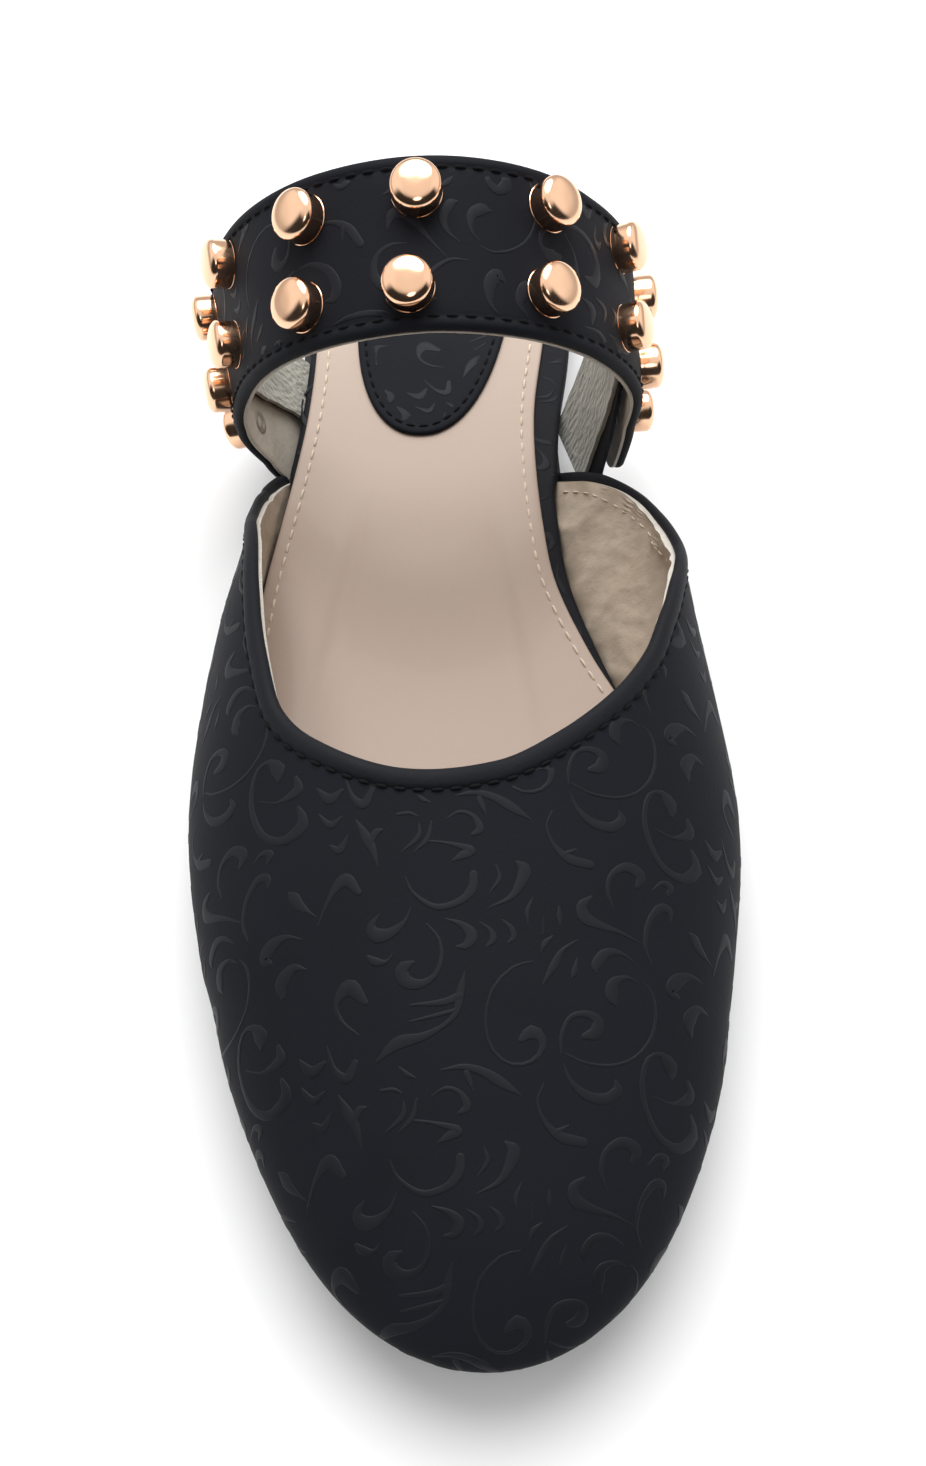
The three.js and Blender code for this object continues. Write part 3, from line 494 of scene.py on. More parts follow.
feltGrey = grainMaterial("grey green felt", (0.29, 0.285, 0.245), (0.52, 0.505, 0.445),
    Scale=1100.0, Patches=160.0, Depth=1.2, Rough=0.9, Spread=0.08, Stretch=0.35, bump=1.0,
    sheen=0.3, specular=0.15, bumpDistance=0.0004)
rubberBlack = grainMaterial("black sole rubber", (0.011, 0.011, 0.012), (0.02, 0.02, 0.021),
    Scale=700.0, Patches=50.0, Depth=0.5, Rough=0.55, Spread=0.15, bump=0.25, specular=0.45)
studGold = grainMaterial("rose gold stud", (0.98, 0.6, 0.385), (0.98, 0.62, 0.41), Scale=900.0,
    Patches=120.0, Depth=0.1, Rough=0.1, Spread=0.08, bump=0.03, specular=0.5, metal=1.0)
pinSteel = grainMaterial("dull pin metal", (0.3, 0.27, 0.24), (0.42, 0.38, 0.33), Scale=900.0,
    Patches=200.0, Depth=0.2, Rough=0.35, Spread=0.15, bump=0.1, metal=1.0)

# Flat layers: wrapped board, sock, heel patch and outsole

def stationRun(share, endInset):
    # distances from the heel's end, turned like a quarter circle at both ends
    heelShare, toeShare = 0.22, 0.30
    rear = sole["heelRound"]
    toeEnd = shoe["length"] - sole["toeTuck"] - endInset
    a = np.clip(share / heelShare, 0, 1) * np.pi / 2
    b = np.clip((share - 1 + toeShare) / toeShare, 0, 1) * np.pi / 2
    body = np.clip((share - heelShare) / (1 - heelShare - toeShare), 0, 1)
    return np.where(share < heelShare, rear - (rear - endInset) * np.cos(a),
                    np.where(share > 1 - toeShare, toeStart + (toeEnd - toeStart) * np.sin(b),
                             mix(rear, toeStart, body)))


def layerRings(shares, side, profile, columns):
    # each station's section is a ring: up the outer edge's profile, across the top, down the
    # inner edge's, back below. side gives the inset at a distance along, or at the ends, and a
    # profile's rows are (extra inset, lift).
    shares = shares[:, None]

    def edge(which, extra):
        ends = side(None, which, extra, end=True)
        along = stationRun(shares, ends)
        return soleEdge(along, which, side(along, which, extra), ends), along

    def across(extra, lift, steps):
        (left, along), (right, _) = edge(-1.0, extra), edge(1.0, extra)
        return mix(left, right, steps), along + 0 * steps, lift + 0 * steps

    extra, lift = np.array(profile).T[:, None]
    steps = np.linspace(0, 1, columns + 2)[None, 1:-1]
    parts = [(*edge(-1.0, extra), lift), across(*profile[-1], steps),
             (*edge(1.0, extra[:, ::-1]), lift[:, ::-1]), across(*profile[0], steps[:, ::-1])]
    return [np.concatenate([np.broadcast_to(p[k], p[0].shape) for p in parts], 1)
            for k in range(3)]


def layerPiece(name, rings, material, slot, node, sharp=None):
    meshFrom(name, rings, tubeFaces(rings, capped=False), material, slot, [node], sharp)


rowsAlong = np.linspace(0, 1, 181)
bedEnd = last["wall"] + shoe["gap"]
sockBase = 2 * shoe["gap"] + bed["thickness"]
waists = dict(centre=58.0, reach=22.0, board=1.8, sole=1.3)


def waist(along, which):
    # a low hill along the inner side, where the wrapped board hides the sole's edge
    return (which > 0) * np.exp(-((along - waists["centre"]) / waists["reach"]) ** 2)


def boardInset(along, which, extra, end=False):
    # the margin, which grows to the wall and gap inside the vamp, less the waist's hill
    if end:
        return bed["margin"] + extra
    inside = np.clip(along - last["quarterEnd"] + 1, 0, 1)
    return mix(bed["margin"], bedEnd, inside) - waists["board"] * waist(along, which) + extra


def sockInset(along, which, extra, end=False):
    # the margin, plus the share of the rim that the side's row gives
    if end:
        return bedEnd + bed["rim"] / 4 + extra
    column = "lateral" if which < 0 else "medial"
    return bed["margin"] + bed["rim"] * readRow(rimRows, column, along / shoe["length"]) + extra


boardProfile = [(0.5, 0.0), (0.1, 0.25), (0.0, 0.7), (0.0, 2.8), (0.08, 3.3), (0.35, 3.75),
                (0.8, 3.97), (1.4, 4.0)]
x, along, lift = layerRings(rowsAlong, boardInset, boardProfile, 6)
rings = spot(x, along, bedHeight(along) + shoe["gap"] + lift)
layerPiece("wrapped_board", rings, edgeBlack, "upper_black", "footbed")

# two soft folds where the foot bends spread towards the toes, with a shallow dish between them
sockProfile = [(0.15, 0.0), (0.0, 0.2), (0.0, 0.55), (0.12, 0.85), (0.4, 0.98), (1.0, 1.0)]
sockFolds = dict(centre=-7.6, reach=13.9, spread=0.171, start=102.0, dish=0.6, groove=0.45)
x, along, lift = layerRings(rowsAlong, sockInset, sockProfile, 40)
fromFold = (np.abs(x - sockFolds["centre"]) - sockFolds["reach"]
            - sockFolds["spread"] * (along - sockFolds["start"]))
dish = (sockFolds["dish"] / (1 + np.exp(fromFold / 1.3))
        + sockFolds["groove"] * np.exp(-(fromFold / 1.5) ** 2)
        ) / (1 + np.exp((sockFolds["start"] - 5 - along) / 3))
dent = 0.1 * np.sin(along / 13.0 + x / 17.0) * np.exp(-((along - 90) / 60) ** 2)
onTop = np.clip((lift - 0.99) * 100, 0, 1)
rings = spot(x, along, bedHeight(along) + sockBase + lift + (dent - dish) * onTop)
layerPiece("sock_leather", rings, sockBeige, "sock_lining", "sock")

patch = dict(length=66.0, width=33.0, back=11.0, swing=4.6, taper=2.8, point=0.46, seat=0.25,
             face=0.84)


def patchOutline(share, inset):
    # a half circle at the heel, then a side that draws in to a soft point
    back, front = patch["back"] + inset, patch["back"] + patch["length"] - inset
    along = mix(back, front, (1 - np.cos(share * np.pi)) / 2)
    widest = patch["back"] + patch["width"] / 2
    rear = np.clip((widest - along) / (widest - back), 0, 1)
    fore = np.clip((along - widest) / (front - widest), 0, 1)
    width = patch["width"] / 2 - inset
    wide = width * np.sqrt(1 - rear ** 2) * (1 - fore ** patch["taper"]) ** patch["point"]
    centre = half * readRow(soleRows, "axis", along / shoe["length"]) - patch["swing"] * fore
    return centre, wide, along


patchLift = [(0.1, 0.0), (0.0, 0.2), (0.0, 0.5), (0.15, 0.8), (0.5, 0.95), (1.1, 0.98),
             (1.7, 0.80), (2.4, patch["face"])]
shares = np.linspace(0, 1, 90)
parts = []
for side, profile in ((-1, patchLift), (1, patchLift[::-1])):
    for inset, z in profile:
        centre, wide, along = patchOutline(shares, inset)
        parts.append(spot(centre + side * wide, along, bedHeight(along) + z))
    if side < 0:
        centre, wide, along = patchOutline(shares, patchLift[-1][0])
        for t in np.linspace(-1, 1, 12)[1:-1]:
            parts.append(spot(centre + t * wide, along, bedHeight(along) + patchLift[-1][1]))
rings = np.stack(parts, 1)
patchBase = sockBase + bed["sock"] + shoe["gap"] - patch["seat"]
rings[..., 2] += patchBase
layerPiece("heel_patch_leather", rings, napBlack, "upper_black", "heel_patch")


def soleInset(along, which, extra, end=False):
    # the sole stands out by its margin, less the waist's hill
    return -sole["margin"] + extra + (0 if end else waists["sole"] * waist(along, which))


breastEnd = sole["breastAt"] + sole["breastRun"]
treadRows = np.unique(np.concatenate([
    np.linspace(0, 0.22, 40), np.linspace(0.22, 0.70, 90), np.linspace(0.70, 1, 50),
    [(v - sole["heelRound"]) / (toeStart - sole["heelRound"]) * 0.48 + 0.22
     for v in (sole["breastAt"] - 0.05, sole["breastAt"], breastEnd)]]))
soleProfile = [(sole["heelTaper"] + sole["edgeRound"], 0.0), (sole["heelTaper"] + 0.5, 0.06),
               (sole["heelTaper"], 0.2), (sole["heelTaper"] * 0.55, 0.55), (0.1, 0.86),
               (0.0, 0.93), (0.1, 0.98), (0.5, 1.0)]
x, along, lift = layerRings(treadRows, soleInset, soleProfile, 16)
topZ = bedHeight(along)
arch = np.clip((along - sole["breastAt"]) / sole["breastRun"], 0, 1)
lowZ = np.maximum(topZ - sole["thickness"], 0.0) * arch
rings = spot(x, along, mix(lowZ, topZ, lift))
layerPiece("outsole_rubber", rings, rubberBlack, "sole_rubber", "outsole", sharp=40)
print("sole, board, sock and patch made")

# Vamp, lining and folded topline

skin = dict(rows=210, columns=221, thick=0.9, liningTop=1.25, liningFace=2.1, liningBack=0.95)
outer, inner = [lastGrid(skin["rows"], skin["columns"], lift)[0] for lift in (0.0, -skin["thick"])]
meshFrom("vamp", *doubleSheet(outer, inner, foldLast=True), napBlack, "upper_black", ["upper"])


def liningCrease(points, around):
    # soft ridges where two wandering waves pass through zero, most of them on the inner side
    y, z = points[..., 1], points[..., 2]
    wander = np.sin(0.27 * y + 1.5 * np.sin(0.13 * z + 0.5) + np.sin(0.19 * y - 0.24 * z))
    cross = np.sin(0.24 * z - 0.20 * y + 1.4 * np.sin(0.16 * y + 0.4))
    fine = np.sin(0.8 * y + 1.9 * np.sin(0.45 * z)) * np.sin(0.7 * z + 1.3 * np.sin(0.3 * y))
    return ((0.80 * (1 - np.abs(wander)) ** 3 + 0.60 * (1 - np.abs(cross)) ** 3 + 0.10 * fine)
            * np.clip(y / 25 + 0.9, 0, 1) * np.clip(around / 0.2 - 0.5, 0.2, 1))


def liningGrid(lift, rows=150, columns=181):
    # the lining lies closer to the wall near the sole, and its free edge stands off the fold
    corner = np.clip((np.abs(np.linspace(-1, 1, columns)) - 0.62) / 0.2, 0, 1)[None, :]
    points, swing, around = lastGrid(rows, columns, 0.0, skin["liningTop"] + 1.1 * corner,
                                     pace=1.5)
    normal = lastNormal(swing, around)
    near = np.clip((np.abs(around) - 0.80) / 0.2, 0, 1)
    crease = liningCrease(points, around) if lift == skin["liningFace"] else 0
    return points - (lift - 0.2 * near + crease)[..., None] * normal


inside, outside = [liningGrid(lift)[:, ::-1] for lift in (skin["liningFace"], skin["liningBack"])]
points, faces = doubleSheet(inside, outside, foldLast=True)
lining = meshFrom("quarter_lining", points, faces, liningBeige, "sock_lining", sharp=50)
lining.materials.append(rawEdge)
rows, columns = inside.shape[:2]
firstEdge = 2 * (rows - 1) * (columns - 1)
slots = np.zeros(len(faces), int)
slots[firstEdge:firstEdge + columns - 1] = 1
lining.polygons.foreach_set("material_index", slots)


def toplinePath(count):
    # evenly spaced along the topline, with the way out and the way down the wall
    around = np.linspace(-0.965, 0.965, 2400)
    line = lastPoint(toplineSwing(around), around)
    reach = np.append(0, np.cumsum(np.linalg.norm(np.diff(line, axis=0), axis=1)))
    around = np.interp(np.linspace(0, reach[-1], count), reach, around)
    swing = toplineSwing(around)
    line, normal = lastPoint(swing, around), lastNormal(swing, around)
    down = unit(np.cross(np.gradient(line, axis=0), normal))
    return line, normal, down, swing, around


beadProfile = np.array([
    (3.0, -0.35), (2.95, 0.02), (2.75, 0.34), (2.2, 0.58), (1.5, 0.70), (0.8, 0.68), (0.2, 0.48),
    (-0.18, 0.1), (-0.3, -0.35), (-0.22, -0.85), (0.05, -1.15), (0.5, -1.3), (2.9, -1.32),
    (3.0, -0.9)])
stations = 420
line, normal, down, _, _ = toplinePath(stations)
# the section grows over the first and the last ten stations
fromEnd = np.minimum(np.arange(stations), np.arange(stations)[::-1]) / 10
ease = np.sqrt(np.clip(fromEnd, 0.05, 1))[:, None, None]
rings = (line[:, None] + down[:, None] * beadProfile[None, :, :1] * ease
         + normal[:, None] * (beadProfile[None, :, 1:] + 0.3 * (1 - ease)))
meshFrom("topline_fold", rings, tubeFaces(rings), edgeBlack, "upper_black")
print("upper made")

# Strap: black cover, lining, studs and their pins

studs = dict(diameter=8.3, height=4.6, dome=1.5, fullness=0.66, pitch=19.9, sink=0.05)
studRows = dict(
    back=[-4.05, -3.12, -2.19, -1.00, -0.07, 1.01, 2.04, 2.85, 3.85],
    backSide=[-6.9, -6.9, -8.3, -6.9, -7.7, -7.9, -8.1, -6.6, -6.8],
    front=[-3.98, -3.02, -2.32, -1.06, -0.16, 0.97, 2.10, 2.90, 3.70],
    frontSide=[7.5, 8.0, 5.0, 7.0, 7.3, 6.4, 5.6, 6.2, 8.0])


def strapRings(profile, columns, crown=0.0, start=0.0):
    # section rings along the strap; an inset from the edge also draws in the round free end
    share = np.sin(np.linspace(0, 1, 220) * np.pi / 2)[:, None] ** 1.05
    steps = np.linspace(-1, 1, columns + 2)[None, 1:-1]
    parts = []
    for side, order in ((-1, profile), (1, profile[::-1])):
        for inset, out in order:
            end, corner = strapLength - inset, strap["endRound"] - inset
            distance = start + (end - start) * share
            left = np.clip(corner - (end - distance), 0, corner)
            reach = strap["width"] / 2 - strap["endRound"] + np.sqrt(corner ** 2 - left ** 2)
            parts.append(strapPoint(distance, side * reach, out))
        hill = crown * (1 - steps ** 2) if side < 0 else 0
        parts.append(strapPoint(distance, -side * reach * steps, out + hill))
    return np.concatenate(parts, 1)


coverProfile = [(1.2, -0.75), (0.55, -0.7), (0.2, -0.4), (0.0, 0.1), (0.05, 0.6), (0.3, 1.0),
                (0.75, 1.24), (1.25, 1.30), (1.75, 1.22), (2.1, 1.06), (2.45, 1.12), (3.2, 1.18)]
rings = strapRings(coverProfile, 10, crown=0.06)
meshFrom("strap_cover", rings, tubeFaces(rings), napBlack, "upper_black", ["strap"])
liningProfile = [(1.1, -1.26), (0.4, -1.25), (0.15, -1.15), (0.12, -0.6), (0.5, -0.45)]
rings = strapRings(liningProfile, 8, start=0.3)
meshFrom("strap_lining", rings, tubeFaces(rings), liningGrey, "upper_black", sharp=40)

distances = np.linspace(0, strapLength, 400)
topOf = distances[np.argmax(strapPoint(distances, 0, 0)[:, 2])]
studSpots = np.array([(topOf + step * studs["pitch"], side) for row in ("back", "front")
                      for step, side in zip(studRows[row], studRows[row + "Side"])])


def turnedPieces(profile, sides, places, axes, sideways):
    # each profile point is swung round its axis; places and axes give one turned piece each
    profile = np.array(profile, float)
    angle = np.arange(sides) / sides * 2 * np.pi
    ring = (np.cos(angle)[None, :, None] * sideways[:, None]
            + np.sin(angle)[None, :, None] * np.cross(axes, sideways)[:, None])
    return (places[:, None, None] + axes[:, None, None] * profile[None, :, None, 1:]
            + ring[:, None] * profile[None, :, None, :1])


# a wall that is a little wider at its foot and top, and a flat dome that turns down at its rim
r, h = studs["diameter"] / 2, studs["height"]
cap = 0.985 * r
studProfile = [(0.98 * r, 0.0), (0.98 * r, 0.05), (0.96 * r, 0.10), (0.965 * r, 0.3),
               (0.97 * r, 0.6), (cap, 0.9), (cap, h - studs["dome"] - 0.15)]
studProfile += [(cap * math.cos(v) ** studs["fullness"], h - studs["dome"] * (1 - math.sin(v)))
                for v in np.radians([0, 12, 22, 31, 39, 47, 55, 63, 70, 77, 83, 87, 89.5])]
point, _, across, outward = strapFrame(studSpots[:, 0])
point = point + across * studSpots[:, 1:]
seatAt = point + outward * (strap["thickness"] / 2 - studs["sink"])
rings = turnedPieces(studProfile, 56, seatAt, outward, across)
studNames = ["stud_%s_%d" % (row, k) for row in ("back", "front") for k in range(1, 10)]
meshFrom("rose_gold_studs", rings, manyTubes(rings), studGold, "stud_metal", studNames, sharp=38)
pinProfile = [(2.3, 0.0), (2.3, 0.25), (2.0, 0.42), (1.5, 0.36), (1.2, 0.12), (0.8, 0.1),
              (0.05, 0.1)]
rings = turnedPieces(pinProfile, 24, point - outward * 1.15, -outward, across)
meshFrom("stud_pin_ends", rings, manyTubes(rings), pinSteel, "stud_metal", sharp=38)
print("strap and studs made")

# Tabs inside the strap

tab = dict(thickness=1.6, rows=60, columns=18, lateralWidth=13.0, lateralHeight=46.0,
           lateralTop=8.2, medialWidth=17.0, medialReach=38.0, medialShift=0.3, bend=0.9, out=2.0,
           twist=0.2)
tabDepth = -strap["thickness"] / 2 - shoe["gap"] - tab["thickness"] / 2
tabUp = np.linspace(0, 1, tab["rows"])[:, None]


def rag(s, seed, size):
    # a raw cut edge: a few sine waves that don't repeat together
    return size * (np.sin(s * 7.1 + seed) + 0.6 * np.sin(s * 17.3 + 2 * seed)
                   + 0.5 * np.sin(s * 41.7 + seed * 3)) / 2


def lateralTab(depths, trim):
    # it lies along the strap's back edge and widens towards its top
    rear = -strap["width"] / 2
    backEdge = rear + trim + rag(tabUp, 1.0, 0.25)
    frontEdge = mix(rear + tab["lateralWidth"], tab["lateralTop"], tabUp) - trim
    side = mix(backEdge, frontEdge + rag(tabUp, 4.0, 0.35), np.linspace(0, 1, tab["columns"]))
    return [strapPoint(tabUp * tab["lateralHeight"], side, tabDepth + depth) for depth in depths]


def medialTab(depths, trim, wider):
    # a quadratic bend from the board's inner edge up to the strap, and wider near its foot
    mid = last["quarterEnd"] - 1 - tab["medialWidth"] / 2
    edge = soleEdge(mid, 1.0, bed["margin"], bed["margin"])
    foot = spot(edge + 3 * shoe["gap"] + tab["thickness"] / 2 + tab["out"], mid,
                bedHeight(mid) + shoe["gap"])
    meeting = strapLength - tab["medialReach"]
    top = strapPoint(meeting, tab["medialShift"], tabDepth)
    bend = strapPoint(meeting + (top[2] - foot[2]) / 2, tab["medialShift"], tabDepth)
    bend[0] = mix(foot[0], bend[0], tab["bend"])
    line = (1 - tabUp) ** 2 * foot + 2 * tabUp * (1 - tabUp) * bend + tabUp ** 2 * top
    tangent = unit(2 * (1 - tabUp) * (bend - foot) + 2 * tabUp * (top - bend))
    here = mid + np.array([0, 1])
    here = spot(soleEdge(here, 1.0, 0.0, 0.0), here, bedHeight(here))
    start = here[1] - here[0] + np.array([tab["twist"], 0, 0])
    across = mix(start, strapFrame(meeting)[2], tabUp)
    across = unit(across - (across * tangent).sum(-1, keepdims=True) * tangent)
    t = np.linspace(-1, 1, tab["columns"])[None, :]
    bulge = wider * np.clip(tabUp / 0.12, 0, 1) * (1 - tabUp)
    side = (t * (tab["medialWidth"] / 2 - trim) + bulge * np.maximum(t, 0)
            + np.abs(t) * rag(tabUp, 2.0 + t, 0.3))
    grid = line[:, None] + across[:, None] * side[..., None]
    return [grid + unit(np.cross(tangent, across))[:, None] * depth for depth in depths]


for name, grids, look, slot, replaced in (
        ("outer_tab_felt", lateralTab((-0.8, 0.1), 0.0), feltGrey, "tab_felt", ["tab_lateral"]),
        ("outer_tab_backing", lateralTab((0.1, 0.8), 0.3), napBlack, "upper_black", []),
        ("inner_tab_felt", medialTab((-0.8, 0.0), 0.2, 0), feltGrey, "tab_felt", ["tab_medial"]),
        ("inner_tab_backing", medialTab((0.0, 0.8), 0.0, 5), napBlack, "upper_black", [])):
    meshFrom(name, *doubleSheet(*grids), look, slot, replaced, sharp=50)
print("tabs made")

# Pressed scrolls

# One repeat of the leather's scrollwork, laid flat: each stroke is a smooth line through its
# rows of (across, up, width) in millimetres. The repeat steps by the two ways below.
scrolls = [
    [(-8.8, 12.1, 0.15), (-7.5, 9.6, 0.46), (-4.1, 7.5, 0.77), (-0.5, 8.3, 0.92),
     (1.4, 10.2, 1.23), (1.6, 12.2, 1.13)],
    [(5, 13.7, 0.21), (5.5, 11.7, 0.62), (4, 9.6, 0.15)],
    [(8.2, 14.2, 0.51), (9.3, 13.1, 1.74), (8.7, 11.1, 1.33), (7.1, 8.9, 0.72), (3.9, 7.4, 0.15)],
    [(-7.8, 7.7, 0.15), (-8.8, 5.5, 0.62), (-11, 3.9, 1.33), (-13.1, 3.7, 1.85),
     (-13.9, 5.1, 1.13), (-12.7, 6.7, 0.21)],
    [(-10.5, 1, 0.15), (-11.6, -0.2, 0.51), (-13.3, -0.1, 1.13), (-14.3, 0.6, 0.62)],
    [(-5.5, 5.1, 0.21), (-3.7, 3, 0.46), (-3.2, 0.3, 0.62), (-4.2, -2.4, 0.72), (-6.5, -3.6, 1.13),
     (-8.7, -3, 1.74), (-9.1, -1.3, 1.74), (-7.4, -0.4, 0.41)],
    [(0.3, -1.8, 0.15), (-0.4, -4.8, 1.13), (-1, -7.6, 0.82), (-2.9, -9.5, 0.62),
     (-6.1, -11, 1.03), (-9.8, -11.8, 1.54), (-12.8, -14.2, 0.31)],
    [(-0.4, -5.3, 1.03), (-3.1, -6.2, 0.82), (-7.9, -6.5, 0.26)],
    [(-1, -7.3, 0.51), (-3.9, -8, 0.51), (-7.8, -8.8, 0.26)],
    [(-2.7, 5.8, 0.15), (-0.2, 4.9, 0.82), (1.3, 3.4, 1.54), (0.5, 1.9, 1.03), (-1, 1.7, 0.26)],
    [(2.5, 5.3, 0.15), (4.1, 4.1, 0.62), (4.5, 2.8, 0.92), (3.5, 1.7, 0.26)],
    [(5.8, 5.7, 0.15), (7.2, 4.5, 0.72), (7.6, 3.2, 0.82), (6.7, 2.3, 0.21)],
    [(10.6, 9.1, 0.15), (9.7, 6.9, 0.67), (9.8, 5.1, 0.21)],
    [(14.6, 7.9, 0.31), (14.6, 6.4, 0.72), (14.7, 5.2, 0.31)],
    [(12.1, 6.3, 0.15), (12, 3.8, 0.21)],
    [(13.5, 3.5, 0.26), (12.3, 2.4, 0.77), (11.7, 1.1, 0.21)],
    [(-2.7, 20.5, 0.15), (-0.6, 21.6, 0.46), (1.5, 21, 0.62), (2.6, 19.1, 1.13),
     (1.4, 18.2, 0.41)],
    [(-10.1, 21.5, 0.41), (-8.3, 21.6, 0.46), (-7, 21.1, 0.21)],
    [(-6.7, 19.9, 0.26), (-6.9, 17.9, 0.72), (-9.4, 15.8, 0.21)],
    [(-4.8, 20.2, 0.31), (-5.5, 17.6, 0.72), (-7.4, 15.8, 0.21)],
    [(-5.2, 17.3, 0.31), (-2.3, 16.9, 0.46), (1.3, 15.9, 1.03), (-0.1, 15.1, 1.03),
     (-1.6, 14.3, 0.26)],
    [(-16.7, 21.2, 0.15), (-15.2, 18.7, 1.23), (-14, 16.6, 1.13), (-13, 13.7, 0.15)],
    [(-12.5, 19.3, 0.41), (-13.6, 18.8, 1.03), (-14.4, 17.1, 0.72)],
    [(13.8, 22.2, 0.26), (12.9, 19.8, 0.36), (14, 17, 0.62), (16.4, 15.1, 1.23),
     (19.7, 14.5, 1.13)],
    [(15.3, 15.6, 0.72), (16.5, 16.2, 0.51), (17.5, 16.7, 0.21)],
    [(34.3, 24.3, 0.72), (34.2, 25.9, 2.15), (32.3, 27.5, 0.62), (30, 26.3, 0.62),
     (29.1, 22.5, 0.72), (30.1, 18.6, 0.82), (32.3, 15.6, 0.92), (35.9, 14.5, 1.23),
     (39.1, 16.6, 1.74), (38.2, 19.3, 0.51)],
    [(30.9, 21.5, 0.15), (34.5, 20.7, 0.36), (37.9, 22, 1.44), (37.6, 24, 0.62)],
    [(23.3, 8.2, 0.15), (22.4, 10.7, 0.56), (23.1, 13.3, 0.72), (25.7, 14.8, 1.23),
     (28, 13.8, 1.54), (27.4, 12, 0.51)],
    [(30.1, 11.9, 0.15), (31.9, 13.2, 0.62), (33.4, 12.8, 1.03), (32.9, 11.6, 0.41)],
    [(19.8, 9.7, 0.41), (18.2, 8.3, 1.33), (18.6, 6.6, 1.64), (21, 5.6, 1.03), (24.3, 4.8, 0.51),
     (27.9, 3.5, 0.15)],
    [(29.5, 0.5, 0.15), (28.4, 3.2, 0.51), (29.1, 6.7, 0.72), (31.2, 9.3, 1.03), (33, 9.2, 1.03),
     (33.2, 7.7, 0.31)],
    [(37, 6.4, 0.41), (37.9, 5.6, 1.44), (38.8, 4.4, 1.33), (40.6, 3.1, 0.41), (41.9, 2.3, 0.1)],
    [(10.4, -0.3, 0.15), (7.6, -1.1, 0.36), (4.5, -4.1, 0.41), (3.3, -8.4, 0.41), (4, -12.3, 0.41),
     (6.4, -14.6, 0.41), (9.3, -14.7, 0.46), (11.5, -13.1, 0.72), (11.6, -11, 1.23),
     (10, -10.3, 1.64), (8.5, -11.4, 0.72)],
    [(17.4, 3.2, 0.15), (15, 1.5, 0.62), (13.6, -0.8, 1.03), (11.9, -3.5, 0.21)],
    [(17.3, 0.7, 0.15), (16.8, -1.4, 0.82), (16.3, -2.4, 0.26)],
    [(26.4, 0.7, 0.15), (24.1, 1.8, 0.62), (21.7, 1.5, 1.23), (20.2, -0.3, 1.33),
     (20.2, -1.4, 0.41)],
    [(27.1, -2.3, 0.15), (25.1, -1.7, 0.51), (22.9, -2.7, 1.33), (22.5, -4.6, 1.64),
     (23.1, -5.8, 0.41)],
    [(27.8, -2, 0.15), (29.3, -3.6, 0.36), (29.8, -6.4, 0.41), (29, -9.8, 0.41),
     (26.3, -12.9, 0.41), (22.5, -14.4, 0.41), (18.3, -14.3, 0.36), (15.1, -13.1, 0.21)],
    [(14.5, -13.2, 0.31), (14.6, -10.7, 0.62), (15.9, -8.1, 0.62), (18.2, -7.4, 0.82),
     (20.2, -8.2, 1.33), (19.8, -10, 1.64), (18, -10.6, 0.72)],
    [(14.8, -14.5, 0.15), (15.8, -16.8, 0.62), (18.3, -18.8, 1.13), (21.4, -19.1, 1.33),
     (23.1, -17.8, 1.23), (22.8, -16.6, 0.41)],
    [(39.4, -0.7, 0.15), (36.7, -0.1, 0.72), (34.1, -1.1, 1.74), (32.9, -2.8, 1.74),
     (34.1, -3.6, 0.41)],
    [(40.4, -5.2, 0.15), (38, -4.8, 1.13), (36.1, -6.7, 1.95), (36.3, -8.7, 0.72)],
    [(-3.2, -15.6, 0.21), (0, -15.2, 0.72), (2.9, -15.9, 1.03), (5.5, -17.3, 1.23),
     (8.4, -19, 0.21)],
    [(0.5, -16.1, 0.82), (1, -17.2, 0.72), (1.5, -18.5, 0.21)],
    [(-9.4, -15.1, 0.26), (-8.2, -16.1, 0.62), (-7, -16.6, 0.21)],
    [(-22.4, 5.9, 0.21), (-20.5, 9.9, 0.7), (-18.2, 12.2, 1.68), (-16, 10.2, 0.84)],
    [(-15.7, -10.3, 0.21), (-18.3, -8.3, 0.56), (-19.2, -5.7, 0.7), (-17.2, -3.6, 2.1),
     (-14.7, -5.8, 0.84)],
    [(-23.2, 26.6, 0.21), (-21.1, 24.7, 1.4), (-19, 25.8, 0.56)],
    [(-22.8, 22.6, 0.21), (-20.8, 20.7, 0.98), (-18.9, 21.8, 0.28)],
    [(-20.8, 17.6, 0.28), (-19.2, 16.8, 1.12), (-17.9, 18.8, 0.21)],
    [(-20.6, -11.7, 0.21), (-19.3, -15, 0.7), (-17.4, -16.3, 1.26), (-16.1, -14.2, 0.84)]]
relief = dict(stepAcross=(64.5, -4.8), stepUp=(2.0, 39.7), samples=20, widen=1.22, narrowest=0.12,
              height=0.07, bevel=0.18, foot=0.02, sink=0.22)


